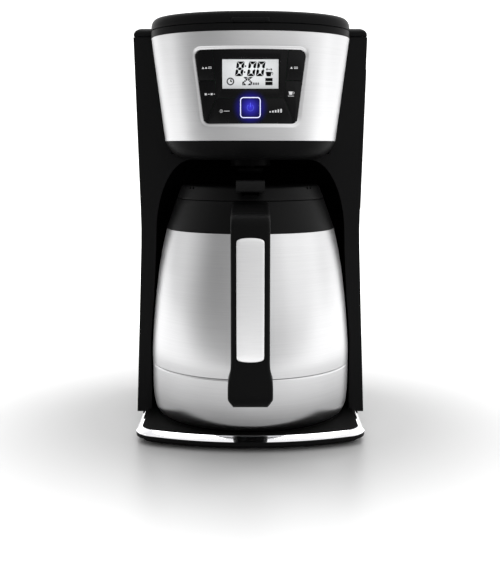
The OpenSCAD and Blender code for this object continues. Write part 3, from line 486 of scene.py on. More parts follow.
def round_poly(pts, n=8):
    """Corner points (x, z, r) to a rounded outline."""
    out = []
    m = len(pts)
    for k in range(m):
        a = np.array(pts[k - 1][:2], float); b2 = np.array(pts[k][:2], float); c = np.array(pts[(k + 1) % m][:2], float)
        r = pts[k][2]
        if r <= 0:
            out.append(tuple(b2)); continue
        u = (a - b2) / np.linalg.norm(a - b2); v = (c - b2) / np.linalg.norm(c - b2)
        ang = math.acos(float(np.clip(u @ v, -1, 1)))
        t = r / math.tan(ang / 2)
        w = math.cos((math.pi - ang) / 2)
        q0, q1 = b2 + u * t, b2 + v * t
        for j in range(n + 1):
            s = j / n
            m0, w1, l = (1 - s) ** 2, 2 * s * (1 - s) * w, s * s
            out.append(tuple((m0 * q0 + w1 * b2 + l * q1) / (m0 + w1 + l)))
    return out


def panel_outline(d, n=8):
    r, q = 4.6 + d * 0.8, 5.0 + d * 0.8
    return round_poly([(-(43.1 + d), 312.3 + d, r), (43.1 + d, 312.3 + d, r), (36.0 + d, 257.0 - d, q), (-(36.0 + d), 257.0 - d, q)], n)


def resample(loop, n):
    """n points evenly along an open polyline, both ends kept."""
    P = np.array(loop, float)
    L = np.concatenate([[0], np.cumsum(np.linalg.norm(np.diff(P, axis=0), axis=1))])
    t = np.linspace(0, L[-1], n)
    return [tuple(np.array([np.interp(q, L, P[:, k]) for k in range(P.shape[1])])) for q in t]


def sides_of(outline, nt_, nr):
    """A rounded outline (clockwise from the top left corner) cut at its corners' middles: top, right, bottom, left."""
    m = len(outline) // 4
    mids = [m * k + m // 2 for k in range(4)]
    res = []
    for k, cnt in zip(range(4), (nt_, nr, nt_, nr)):
        i0, i1 = mids[k], mids[(k + 1) % 4]
        seg = outline[i0:i1 + 1] if i1 > i0 else outline[i0:] + outline[:i1 + 1]
        res += resample(seg, cnt + 1)[:-1]
    return res


# ------------------------------------------------------------------ steel fascia with its sunk panel frame
NT, NR = 72, 28


def fascia():
    S = 1.25
    top = [(s, Z1) for s in np.linspace(-S, S, NT + 1)][:-1]
    right = [(S, z) for z in np.linspace(Z1, Z0, NR + 1)][:-1]
    bot = [(s, Z0) for s in np.linspace(S, -S, NT + 1)][:-1]
    left = [(-S, z) for z in np.linspace(Z0, Z1, NR + 1)][:-1]
    outer = top + right + bot + left
    flange = [(2.7, 0.0), (2.45, 0.03), (2.1, 0.14), (1.6, 0.42), (1.1, 0.74), (0.6, 0.98), (0.2, 1.08), (0.0, 1.1)]
    loops = []
    hole = [(s_of_x(x, z), z) for x, z in sides_of(panel_outline(2.7, 8), NT, NR)]
    M = 16
    # edge roll, then the field, then the flange
    loops.append([(p[0], p[1], 0.35) for p in outer])
    for j in range(M + 1):
        t = j / M
        t = t * t * (3 - 2 * t) * 0.35 + t * 0.65
        row = []
        for (s0, z0), (s1, z1) in zip(outer, hole):
            row.append((s0 + (s1 - s0) * t, z0 + (z1 - z0) * t, 0.0))
        if j == 0:
            row = [(max(-S + 0.002, min(S - 0.002, s)), max(Z0 + 0.18, min(Z1 - 0.18, z)), 0.0) for s, z, _ in row]
        loops.append(row)
    for d, ins in flange[1:]:
        loops.append([(s_of_x(x, z), z, ins) for x, z in sides_of(panel_outline(d, 8), NT, NR)])
    last = loops[-1]
    loops.append([(s, z, 2.2) for s, z, _ in last])
    # underside
    for lp in reversed(loops[1:-1]):
        loops.append([(s, z, i + 0.85) for s, z, i in lp])
    loops.append([(s, z, 0.85) for s, z, _ in loops[0]])
    rings = [[head_point(s, z, i) for s, z, i in lp] for lp in loops]
    verts, faces = rings_mesh(rings, False, False)
    n = len(rings[0]); m = len(rings)
    for i in range(n):
        a, b2 = (m - 1) * n + i, (m - 1) * n + (i + 1) % n
        faces.append((a, b2, (i + 1) % n, i))
    return make("fascia_panel", verts, faces, "fascia_steel", "machine", ("steel_fascia",), angle=40)


fascia()

# ------------------------------------------------------------------ head shell, rim and bowl
def head_ring(z, inset, scale=None, yb=-15.2, n=96):
    ss = np.linspace(-1.25, 1.25, n + 1)
    return [head_point(s, z, inset, scale, yb) for s in ss]


def head_wall(section, name, mat, repl, angle=35):
    """section: a closed (z, inset, scale) outline carried round the head's front."""
    rings = [head_ring(z, i, k) for z, i, k in section]
    stations = [[r[q] for r in rings] for q in range(len(rings[0]))]
    verts, faces = rings_mesh(stations, True, True)
    return make(name, verts, faces, mat, "machine", repl, angle=angle)


# rim: from just under the fascia's top edge to the seam, with a small step
head_wall([(318.0, 1.1, None), (325.95, 1.1, 1.0), (325.95, 0.35, 1.0), (326.25, 0.05, 1.0), (330.8, 0.0, 1.0), (331.2, 0.35, 1.0), (331.2, 2.6, 1.0), (318.0, 3.3, None)],
          "head_rim", "black_plastic", ())

sh = cad_copy("head_shell", bevel=0)

bowl = [(229.4, 0, 0.640), (229.45, 0, 0.662), (229.8, 0, 0.690), (230.6, 0, 0.722), (231.8, 0, 0.752), (233.4, 0, 0.780), (235.4, 0, 0.805), (237.6, 0, 0.826), (240.0, 0, 0.846), (242.2, 0, 0.860), (243.7, 0, 0.869), (244.0, 0.2, 0.869)]
inner = [(244.0, 2.4, 0.869), (240.4, 2.4, 0.846), (236.0, 2.4, 0.800), (233.2, 2.4, 0.752), (231.8, 2.4, 0.69), (231.6, 2.4, 0.64)]
rings = [head_ring(z, i, k) for z, i, k in bowl + inner]
v, f = rings_mesh(rings, True, True)
bowl_ob = raw("bowl", v, f)
cv, cf_ = lathe([(0, 224), (17, 224), (17, 240), (0, 240)], n=64)
boolean(bowl_ob, raw("cut", cv, cf_))
adopt(bowl_ob, "bowl_black", "machine", ("head_bowl",), angle=40)
bowl_ob.name = "head_bowl_moulding"

# ------------------------------------------------------------------ lid
def lid_tower_ring(z, d):
    """Convex plan of the lid over the tower, rounded front corners small, back corners cut."""
    x = 97.4 - d
    pts = round_poly([(-x, -15 + d, max(0.6, 2.2 - d * 0.1)), (x, -15 + d, max(0.6, 2.2 - d * 0.1)), (x, 106, 9), (93.8 - d, 122 - d * 0.4, 3), (-(93.8 - d), 122 - d * 0.4, 3), (-x, 106, 9)], 5)
    return [(px, py, z) for px, py in pts]


def lid_head_ring(z, d, n=96, yb=40):
    ss = np.linspace(-1.25, 1.25, n + 1)
    return [head_point(s, z, d, 1.0, yb) for s in ss]


def roll(z0, z1, r_side, n=8, low=0.45, dome=0.0, h=6.0):
    """Edge profile (z, inset): small radius below, elliptical roll above."""
    out = [(z0, low), (z0 + 0.18, low * 0.35), (z0 + 0.45, 0.05)]
    zc = z1 - h
    for i in range(n + 1):
        a = math.radians(90 * i / n)
        out.append((zc + h * math.sin(a), r_side * (1 - math.cos(a))))
    return out


LZ0, LZT, LZH = 330.6, 337.7, 341.5
tp = roll(LZ0, LZT, 7.0, 9, h=5.8) + [(LZT + 0.35, 16), (LZT + 0.6, 30)]
v, f = rings_mesh([lid_tower_ring(z, d) for z, d in tp])
lid_ob = raw("lid", v, f)
hp = roll(LZ0 + 1.1, LZH - 0.9, 4.6, 9, h=6.6) + [(LZH - 0.45, 11), (LZH - 0.12, 22), (LZH, 36)]
v, f = rings_mesh([lid_head_ring(z, d) for z, d in hp])
boolean(lid_ob, raw("lid2", v, f), "UNION")
# finger tab at the front
tab = round_poly([(-14.9, -90, 0.5), (-14.4, -101.6, 1.6), (14.4, -101.6, 1.6), (14.9, -90, 0.5)], 6)
v, f = rings_mesh([[(x * (1 + s), (y + 100) * (1 + s) - 100 + dy, z) for x, y in tab] for z, s, dy in ((332.4, -0.02, 0.5), (332.7, 0.0, 0.1), (334.2, 0.0, 0.0), (334.9, -0.015, 0.4), (335.2, -0.05, 1.4))])
boolean(lid_ob, raw("tab", v, f), "UNION")
# hollow underneath
v, f = rings_mesh([lid_tower_ring(z, d) for z, d in ((328, 2.8), (335.0, 2.8), (335.8, 4.6))])
boolean(lid_ob, raw("c1", v, f))
v, f = rings_mesh([lid_head_ring(z, d) for z, d in ((328, 2.8), (337.0, 2.8), (338.2, 4.6))])
boolean(lid_ob, raw("c2", v, f))
for s in (-1, 1):
    x0, x1 = s * 53 - 13, s * 53 + 13
    v, f = rings_mesh([[(x0, 118.5, z), (x1, 118.5, z), (x1, 124.5, z), (x0, 124.5, z)] for z in (327.6, 334.8)])
    boolean(lid_ob, raw("c3", v, f))
adopt(lid_ob, "black_plastic", "lid", ("lid_cover",), angle=38)
lid_ob.name = "lid_moulding"
cad_copy("lid_liner", bevel=0.35)
cad_copy("shower_head", bevel=0.3)

# ------------------------------------------------------------------ tower
def tw(z):
    t = (z - 169) / 100.0
    return 92.9 - 0.515 * t + 3.335 * math.sqrt(t * t + 0.0144)


tower = cad_copy("tower_shell", mat="tower_black", bevel=1.1, segs=3, angle=28, smooth=30)
cad_copy("rear_cover", mat="tower_black", bevel=0, smooth=30, merge=0)
bay = cad_copy("bay_liner", bevel=0, smooth=40)
cad_copy("top_deck", bevel=0.4)
cad_copy("basket_well", bevel=0, smooth=40)

# water gauge window on the right side: a raised lens with graduation ticks
gz0, gz1 = 186.2, 304.8
rings = []
prof = [(-0.05, 0.0), (-0.05, 0.0), (0.7, 0.0), (1.0, 0.12), (1.14, 0.5), (1.16, 1.2)]
out = []
N = 28
cuts = None
for h_, d in [(-2.5, 0.0), (0.0, 0.0), (1.15, 0.02), (1.46, 0.2), (1.57, 0.6), (1.59, 1.3)]:
    ring = round_poly([(-5.9 + d, gz0 + d, 2.2), (9.9 - d, gz0 + d, 2.2), (9.9 - d, gz1 - d, 2.2), (-5.9 + d, gz1 - d, 2.2)], 6)
    # split long sides so that the lens follows the wall
    if cuts is None:
        cuts = [max(1, int(abs(ring[(i + 1) % len(ring)][1] - ring[i][1]) / 8)) for i in range(len(ring))]
    dense = []
    for i in range(len(ring)):
        a, b2 = ring[i], ring[(i + 1) % len(ring)]
        k = cuts[i]
        for j in range(k):
            dense.append((a[0] + (b2[0] - a[0]) * j / k, a[1] + (b2[1] - a[1]) * j / k))
    out.append([(tw(z) + h_, y, z) for y, z in dense])
v, f = rings_mesh(out, True, False)
# curved front: the last ring is closed with a single face
make("gauge_lens", *rings_mesh(out, True, True), "gauge_smoke", "machine", ("water_gauge_window",), angle=40)


def plate_on_wall(y0, y1, z0, z1, h=1.65):
    pts = [(tw(z) + h, y, z) for y, z in ((y0, z0), (y1, z0), (y1, z1), (y0, z1))]
    back = [(x - 0.12, y, z) for x, y, z in pts]
    return pts + back, [(0, 1, 2, 3), (7, 6, 5, 4), (0, 4, 5, 1), (1, 5, 6, 2), (2, 6, 7, 3), (3, 7, 4, 0)]


V, F = [], []
for i in range(12):
    z = 197 + i * 8.6
    w = 4.6 if i % 2 else 3.0
    v, f = plate_on_wall(6.9 - w, 7.4, z, z + 0.5)
    F += [tuple(q + len(V) for q in t) for t in f]; V += v
make("gauge_ticks", V, F, "print_white", "machine", slot="white_plastic")

# ------------------------------------------------------------------ base, platform and chrome strip
pan = cad_copy("base_pan", bevel=0)
cad_copy("carafe_platform", mat="bay_plastic", bevel=0.4, segs=2, angle=40)


def base_front(d, m=14, k=44):
    ro, rc, a = 203 - d, 22 - d, 23.3
    return arc(72.1, -65.24, rc, 0, -90 + a, m) + arc(0, 101, ro, -90 + a - 1.5, -90 - a + 1.5, k) + arc(-72.1, -65.24, rc, -90 - a, -180, m)


def trim_line(d):
    return [(94.1 - d, -15.35)] + [(94.1 - d, y) for y in np.linspace(-22, -60, 6)] + base_front(d) + [(-(94.1 - d), y) for y in np.linspace(-60, -22, 6)] + [(-(94.1 - d), -15.35)]


def sweep(prof):
    """A (depth, z) profile swept round the base's front."""
    lines = [[(x, y, z) for x, y in trim_line(d)] for d, z in prof]
    return rings_mesh([[lines[k][i] for k in range(len(prof))] for i in range(len(lines[0]))], True, True)


# the pan's rim is rebated for the strip
v, f = sweep([(-1.5, 8.2), (2.1, 8.2), (2.1, 14.0), (-1.5, 14.0)])
boolean(pan, raw("cut", v, f))
finish_mesh(pan, 30)
bevel_mod(pan, 0.3, 2, 30)
prof = [(2.0, 8.22), (0.15, 8.22), (0.0, 8.24), (-0.05, 8.3), (0.04, 8.4), (2.52, 10.2), (5.0, 11.98), (5.14, 12.06), (5.28, 12.03), (5.32, 11.8), (5.32, 9.52), (2.0, 9.52)]
v, f = sweep(prof)
make("chrome_strip", v, f, "chrome_trim", "machine", ("tray_trim",), angle=50)

# ------------------------------------------------------------------ carafe
body_prof = spline([(84.72, 57.15), (84.8, 66), (84.35, 76), (83.6, 87), (82.5, 100.4), (81.15, 114), (79.6, 126.5), (78.0, 138.5), (76.55, 146.5), (75.5, 152.6), (73.9, 160.2), (72.2, 167.2), (71.5, 170.5)], 5)
outer = [(84.2, 56.95)] + body_prof + [(71.25, 171.15), (70.9, 171.25), (70.4, 170.9)]
inner = [(r - 0.8, z) for r, z in reversed(body_prof)] + [(83.6, 57.0)]
v, f = lathe(outer + inner, n=224, close=True)
make("carafe_skin", v, f, "carafe_steel", "carafe", ("carafe_body",), angle=50)

cup = spline([(84.7, 56.2), (84.68, 50), (84.6, 42), (84.4, 34), (83.95, 27.5), (83.2, 22.2), (82.0, 18.0), (80.2, 15.0), (77.4, 13.1), (73.0, 12.4), (66.5, 12.32), (62.5, 12.3)], 5)
outer = [(83.4, 56.75), (84.2, 56.72)] + cup + [(60.5, 12.35), (58.5, 14.0), (20, 14.1), (0, 14.1)]
inner = [(0, 14.9), (58, 14.9), (60, 13.3), (66, 13.2), (72.8, 13.3), (76.9, 14.0), (79.4, 15.8), (81.1, 18.6), (82.3, 22.5), (83.1, 27.8), (83.5, 36), (83.7, 46)]
v, f = lathe(outer + inner, n=224, close=True)
make("carafe_cup_skin", v, f, "carafe_steel", "carafe", ("carafe_base_cup",), angle=50)

col_prof = [(69.8, 171.32), (71.1, 171.32), (71.42, 171.6), (71.3, 172.3)] + [(71.3 + (62.75 - 71.3) * i / 6, 172.3 + (195.9 - 172.3) * i / 6) for i in range(1, 7)] + [(62.45, 196.35), (61.9, 196.5), (55.6, 196.5), (55.45, 196.3), (55.45, 193.3), (56.3, 193.1), (56.3, 178), (57.3, 176), (58, 172.2)]
v, f = lathe(col_prof, n=192, close=True)
make("collar_moulding", v, f, "carafe_plastic", "carafe", ("carafe_collar",), angle=35)

fl = spline([(0, 18), (55, 19), (68, 21), (75, 26), (78, 36), (78.5, 60), (77, 90), (74.5, 115), (71.5, 135), (66, 153), (60, 165), (57, 172), (56.0, 178), (56, 193)], 4)
inn = [(max(r - 0.8, 0), z + (0.8 if z < 26 else 0)) for r, z in reversed(fl)]
v, f = lathe(fl + inn, n=128)
make("flask_wall", v, f, "flask_steel", "carafe", ("carafe_flask",), angle=40)

# carafe lid: cone rim with two small vents in it, dished top
lid_prof = [(56.2, 196.8), (61.7, 196.8), (62.15, 197.05), (62.25, 197.6), (61.6, 199.3), (60.2, 202.6), (58.9, 205.7), (58.2, 207.0), (57.3, 207.75), (56.2, 208.0), (48, 208.05), (38, 207.9), (30, 207.6), (22, 206.6), (14, 205.3), (4.4, 205.2), (4.2, 205.0), (4.2, 203.3), (14, 203.2), (30, 205.2), (54.8, 205.4), (56.2, 204.4)]
v, f = lathe(lid_prof, n=192, close=True)
cl = raw("carafe_lid_x", v, f)
AY = -10.0


def prism(pts, z0, z1):
    return rings_mesh([[(x, y, z) for x, y in pts] for z in (z0, z1)])


def yz_prism(pts, x0, x1):
    """Outline in (y, z) swept across x."""
    return rings_mesh([[(x, y, z) for y, z in pts] for x in (x0, x1)])


for s in (-1, 1):
    v, f = prism([(s * 7.2, AY - 55), (s * 10.2, AY - 55), (s * 10.2, AY - 49), (s * 7.2, AY - 49)], 203.8, 208.7)
    boolean(cl, raw("ear", v, f), "UNION")
v, f = prism([(-6.9, AY - 60.5), (6.9, AY - 60.5), (6.9, AY - 36), (-6.9, AY - 36)], 200, 220)
boolean(cl, raw("slot", v, f))
v, f = prism([(-11.6, AY - 70), (11.6, AY - 70), (11.6, AY - 57), (-11.6, AY - 57)], 203.6, 220)
boolean(cl, raw("slot", v, f))
v, f = prism([(-6.9, AY - 40), (6.9, AY - 40), (6.9, AY - 6), (-6.9, AY - 6)], 207.2, 220)
boolean(cl, raw("slot", v, f))
for k in range(6):
    a = math.radians(30 + 60 * k)
    v, f = lathe([(0, 200), (2, 200), (2, 210), (0, 210)], 11 * math.cos(a), AY + 11 * math.sin(a), 24)
    boolean(cl, raw("hole", v, f))
# notches in the rim, one pair of steps on each side of the front
for a0 in (-147, -142.5, -37.5, -33):
    a = math.radians(a0)
    c, s_ = math.cos(a), math.sin(a)
    pts = []
    for rr, tt in ((57.6, -1.1), (63, -1.1), (63, 1.1), (57.6, 1.1)):
        pts.append((rr * c - tt * s_, AY + rr * s_ + tt * c))
    v, f = prism(pts, 205.2, 212)
    boolean(cl, raw("notch", v, f))
adopt(cl, "carafe_plastic", "carafe_lid", ("carafe_lid",), angle=30)
cl.name = "carafe_lid_moulding"
bevel_mod(cl, 0.25, 2, 40)
cad_copy("lid_stopper", bevel=0, smooth=40)
cad_copy("lid_gasket", bevel=0.3)


# handle: swept between an outer and an inner rail
def rail(parts):
    out = []
    for pts, cnt in parts:
        seg = resample(pts, cnt + 1)
        out += seg[:-1]
    out.append(parts[-1][0][-1])
    return out


outer_r = rail([([(-62.0, 196.0), (-84.0, 194.3), (-104, 192.3), (-117.4, 191.0)], 12),
                (arc(-119.2, 180.8, 10.2, 80, 180, 16), 16),
                ([(-129.4, 180.8), (-129.45, 150), (-129.5, 130), (-129.6, 108), (-129.7, 90)], 12),
                ([(-129.7, 90), (-129.75, 76)], 4),
                ([(-129.75, 76), (-129.8, 60.0), (-129.8, 53.5), (-128.4, 49.0), (-125.0, 45.9), (-120.5, 44.5)], 14),
                ([(-120.5, 44.5), (-104, 44.2), (-92, 44.7), (-82.6, 45.3)], 8)])
inner_r = rail([([(-62.0, 174.6), (-80.0, 173.6), (-92, 172.9), (-103, 172.4)], 12),
                (arc(-103, 164, 8.4, 90, 180, 16), 16),
                ([(-111.4, 164), (-111.4, 140), (-111.5, 120), (-111.6, 100)], 12),
                ([(-111.6, 100), (-111.9, 82)], 4),
                (arc(-103, 72.0, 9.0, 176, 280, 14), 14),
                ([(-101.4, 63.1), (-92, 63.0), (-82.6, 62.9)], 8)])


def smoothstep(a, b2, x):
    t = min(1.0, max(0.0, (x - a) / (b2 - a)))
    return t * t * (3 - 2 * t)


hrings = []
ns = len(outer_r)
for i, (o, q) in enumerate(zip(outer_r, inner_r)):
    o = np.array(o); q = np.array(q)
    u = o - q
    T = np.linalg.norm(u); u = u / T
    low = smoothstep(80.0, 60.0, o[1]) if i > 30 else 0.0          # widening towards the foot
    half = 14.6 + 2.4 * low
    foot = smoothstep(54.5, 46.0, o[1]) if i > 40 else 0.0         # cut corners under the foot
    co = (2.6 + 1.5 * foot, 2.6 + 3.4 * foot)                      # outer corner: across, inwards
    ci = (5.0, 5.0)
    p_out = 2.0 - 0.9 * foot
    ring = []
    K = 7
    # go round: outer corner +x, inner corner +x, inner corner -x, outer corner -x
    def corner(sx, at_outer):
        cc = co if at_outer else ci
        p = p_out if at_outer else 2.0
        pts = []
        for k in range(K + 1):
            a = math.radians(90 * k / K)
            ex = cc[0] * (1 - abs(math.cos(a)) ** (2 / p)) if True else 0
            ey = cc[1] * (1 - abs(math.sin(a)) ** (2 / p))
            pts.append((sx * (half - ex), ey))
        return pts
    pos = []
    A = corner(1, True)      # k=0: x at half, depth cc[1]; k=K: x inset, depth 0
    for x, dpt in reversed(A):
        pos.append((x, T - dpt))
    B = corner(1, False)
    for x, dpt in B:
        pos.append((x, dpt))
    for x, dpt in reversed(corner(-1, False)):
        pos.append((x, dpt))
    for x, dpt in corner(-1, True):
        pos.append((x, T - dpt))
    for x, h_ in pos:
        p = q + u * h_
        ring.append((x, AY + p[0], p[1]))
    hrings.append(ring)
v, f = rings_mesh(hrings)
hb = raw("handle_x", v, f)
# the ends meet the collar and the steel body
v, f = lathe([(0, 100), (85.0, 100), (85.0, 20), (0, 20)], n=128)
boolean(hb, raw("c", v, f))
v, f = lathe([(0, 160), (75.6, 160), (62.55, 196.2), (62.2, 197.2), (0, 197.2)], n=128)
boolean(hb, raw("c", v, f))
# seat of the insert
def insert_outline(d=0.0):
    """Bowed ends, small rounded corners."""
    w = 10.3 - d
    z0, z1 = 80.8 + d, 173.6 - d
    out = []
    for sx, top in ((1, False), (1, True), (-1, True), (-1, False)):
        zc = z1 if top else z0
        k = -1 if top else 1
        q = []
        for t in np.linspace(0, 1, 13):
            a = t * math.pi / 2
            # flat middle, rounded shoulder
            x = w * math.sin(a) ** 0.92
            z = 4.1 * (1 - math.cos(a) ** 0.62)
            q.append((sx * x, zc + k * z))
        out += q if (sx, top) in ((1, False), (-1, True)) else list(reversed(q))
    res = []
    for p_ in out:
        if not res or (abs(p_[0] - res[-1][0]) + abs(p_[1] - res[-1][1])) > 1e-4:
            res.append(p_)
    if abs(res[0][0] - res[-1][0]) + abs(res[0][1] - res[-1][1]) < 1e-4:
        res.pop()
    return res


seat = [(x, 0, z) for x, z in insert_outline(-0.12)]
v, f = rings_mesh([[(x, AY + y, z) for x, _, z in seat] for y in (-135, -128.3)])
boolean(hb, raw("c", v, f))
adopt(hb, "handle_plastic", "carafe", ("carafe_handle",), angle=38)
hb.name = "handle_moulding"

# insert: thin crowned strip with bowed ends
rings = []
for d, y in ((0.0, -128.4), (0.0, -129.3), (0.1, -129.55), (0.35, -129.72), (1.0, -129.8), (2.6, -129.88), (5.2, -129.95), (8.0, -129.99)):
    sx, sz = (10.3 - d) / 10.3, (46.4 - d) / 46.4
    rings.append([(x * sx, AY + y, 127.2 + (z - 127.2) * sz) for x, z in insert_outline()])
v, f = rings_mesh(rings)
make("insert_strip", v, f, "insert_steel", "carafe", ("handle_insert",), angle=50)

# thumb lever
lv = cad_copy("thumb_lever", mat="lever_plastic", bevel=1.6, segs=4, angle=30, smooth=40)
cad_copy("pour_valve", bevel=0.3)

# ------------------------------------------------------------------ control panel
def flat_prism(outline, y0, y1):
    """Prism of a front view outline between two depths, in flat millimetre space."""
    bm = bmesh.new()
    f0 = bm.faces.new([bm.verts.new((x, y0, z)) for x, z in outline])
    r = bmesh.ops.extrude_face_region(bm, geom=[f0])
    bmesh.ops.translate(bm, verts=[g for g in r["geom"] if isinstance(g, bmesh.types.BMVert)], vec=(0, y1 - y0, 0))
    bmesh.ops.recalc_face_normals(bm, faces=bm.faces)
    me = bpy.data.meshes.new("prism")
    bm.to_mesh(me); bm.free()
    ob = bpy.data.objects.new("prism", me)
    COL.objects.link(ob)
    return ob


def slab(outline, i0, i1, name, mat, body, repl=(), bev=0.25, step=2.0, holes=(), angle=40, segs=2):
    """A flat outline in the front view, laid on the head's curved front between two depths, with rounded front edges."""
    t = i1 - i0
    ob = flat_prism(outline, 0.0, -t)
    for h in holes:
        boolean(ob, flat_prism(h, 5.0, -t - 5.0))
        if not len(ob.data.vertices):
            raise RuntimeError(name + ": a cut left nothing")
    bm = bmesh.new(); bm.from_mesh(ob.data)
    bmesh.ops.dissolve_limit(bm, angle_limit=0.002, verts=bm.verts, edges=bm.edges)
    bm.normal_update()
    if bev:
        fe = [e for e in bm.edges if all(abs(v.co.y + t) < 1e-5 for v in e.verts)
              and len(e.link_faces) == 2 and min(abs(f.normal.y) for f in e.link_faces) < 0.5]
        bmesh.ops.bevel(bm, geom=fe, offset=bev, segments=segs, profile=0.5, affect="EDGES", clamp_overlap=True)
    xs = [v.co.x for v in bm.verts]
    lo, hi = min(xs), max(xs)
    x = math.ceil(lo / step) * step
    while x < hi:
        bmesh.ops.bisect_plane(bm, geom=bm.verts[:] + bm.edges[:] + bm.faces[:], plane_co=(x, 0, 0), plane_no=(1, 0, 0), dist=1e-4)
        x += step
    for v in bm.verts:
        v.co.y = surf_y(v.co.x, v.co.z) + i1 + v.co.y
        v.co *= 0.001
    bm.to_mesh(ob.data); bm.free()
    ob.name = name
    return adopt(ob, mat, body, repl, angle)


def mirror(pts):
    return [(-x, z) for x, z in reversed(pts)]


left_upper = round_poly([(-42.75, 312.0, 4.3), (-28.75, 312.0, 0.4), (-27.0, 289.65, 0.4), (-39.85, 289.65, 0.4)], 5)
left_lower = round_poly([(-39.8, 289.15, 0.4), (-26.95, 289.15, 0.4), (-26.2, 276.9, 0.4), (-34.2, 258.9, 0.15), (-35.95, 258.9, 0.5)], 4)
low_left = round_poly([(-25.65, 276.3, 0.4), (-8.7, 276.3, 0.4), (-8.7, 257.3, 0.4), (-33.6, 257.3, 2.4)], 4)
lcd_hole = round_poly([(-22.1, 305.7, 0.7), (22.1, 305.7, 0.7), (22.1, 282.7, 0.7), (-22.1, 282.7, 0.7)], 4)


def sq(h, r, n=6):
    return round_poly([(-h, 269.1 + h, r), (h, 269.1 + h, r), (h, 269.1 - h, r), (-h, 269.1 - h, r)], n)


GAP = 0.2


def grow(pts, d):
    """Offset of an outline by its own normals."""
    P = np.array(pts, float)
    A = 0.5 * sum(P[i - 1][0] * P[i][1] - P[i][0] * P[i - 1][1] for i in range(len(P)))
    sgn = 1 if A > 0 else -1
    out = []
    n = len(P)
    for i in range(n):
        a, b2, c = P[i - 1], P[i], P[(i + 1) % n]
        e1 = b2 - a; e2 = c - b2
        if np.linalg.norm(e1) < 1e-6: e1 = e2
        if np.linalg.norm(e2) < 1e-6: e2 = e1
        n1 = np.array([e1[1], -e1[0]]) / (np.linalg.norm(e1) + 1e-12) * sgn
        n2 = np.array([e2[1], -e2[0]]) / (np.linalg.norm(e2) + 1e-12) * sgn
        m_ = n1 + n2
        L = np.linalg.norm(m_)
        m_ = m_ / L if L > 1e-6 else n1
        k = 1 / max(0.35, float(m_ @ n1))
        out.append(tuple(b2 + m_ * d * k))
    return out


zones = {"hour_button": left_upper, "minute_button": mirror(left_upper), "program_button": left_lower, "cup_button": mirror(left_lower),
         "auto_button": low_left, "strong_button": mirror(low_left)}
FRONT = 1.0
slab(panel_outline(-0.02, 8), FRONT, 2.6, "panel_plate", "panel_gloss", "machine", ("control_bezel",), bev=0.15,
     holes=[grow(z, GAP) for z in zones.values()] + [sq(8.0, 2.6), grow(lcd_hole, 0.1)])
# the keys: a cap for each zone, a little smaller than its hole in the plate and reaching behind it
for nme, z in zones.items():
    slab(z, FRONT - 0.05, 3.3, nme + "_cap", "panel_gloss", BODY_OF[nme], (nme,), bev=0.18)

# lit ring, lit square, its mark, and the soft glow on the plate round it
slab(sq(7.8, 2.5), 0.75, 2.6, "ring_line", "light_ring", "machine", ("power_light_ring",), bev=0.12, holes=[sq(7.2, 1.95)])
slab(sq(6.95, 1.75), 0.8, 3.3, "power_cap", "power_blue", "power_key", ("power_button",), bev=0.35, segs=3)


def decal(pts, name, mat, body, slot, depth, t=0.06, holes=()):
    return slab(pts, depth - t, depth, name, mat, body, bev=0, holes=holes)


def flat_shape(polys, depth, t, name, mat, body, slot, local=True):
    """Several small flat outlines laid on the head's surface as one piece."""
    V, F = [], []
    for pts in polys:
        n = len(pts)
        a = [(x, surf_y(x, z) + depth - t, z) for x, z in pts]
        b2 = [(x, surf_y(x, z) + depth, z) for x, z in pts]
        o = len(V)
        V += a + b2
        F.append(tuple(o + i for i in range(n)))
        F.append(tuple(o + n + i for i in reversed(range(n))))
        for i in range(n):
            j = (i + 1) % n
            F.append((o + i, o + n + i, o + n + j, o + j))
    return make(name, V, F, mat, body, slot=slot, angle=30)


def bar(x0, x1, z0, z1, sh=0.0):
    return [(x0 + sh * (z0 - 0), z0), (x1 + sh * (z0 - 0), z0), (x1 + sh * (z1 - 0), z1), (x0 + sh * (z1 - 0), z1)]


def box_at(cx, cz, w, h):
    return [(cx - w / 2, cz - h / 2), (cx + w / 2, cz - h / 2), (cx + w / 2, cz + h / 2), (cx - w / 2, cz + h / 2)]


def ring_polys(cx, cz, r, w, n=20, a0=0, a1=360):
    out = []
    for i in range(n):
        t0 = math.radians(a0 + (a1 - a0) * i / n); t1 = math.radians(a0 + (a1 - a0) * (i + 1) / n)
        out.append([(cx + (r - w) * math.cos(t0), cz + (r - w) * math.sin(t0)), (cx + r * math.cos(t0), cz + r * math.sin(t0)),
                    (cx + r * math.cos(t1), cz + r * math.sin(t1)), (cx + (r - w) * math.cos(t1), cz + (r - w) * math.sin(t1))])
    return out


def tri(cx, cz, s, up=True):
    k = 1 if up else -1
    return [(cx - s, cz - k * s * 0.7), (cx + s, cz - k * s * 0.7), (cx, cz + k * s * 0.9)]


def line(x0, z0, x1, z1, w):
    d = np.array([x1 - x0, z1 - z0]); L = np.linalg.norm(d); nrm = np.array([-d[1], d[0]]) / L * w / 2
    a = np.array([x0, z0]); c = np.array([x1, z1])
    return [tuple(a - nrm), tuple(c - nrm), tuple(c + nrm), tuple(a + nrm)]


CAPD = FRONT - 0.05
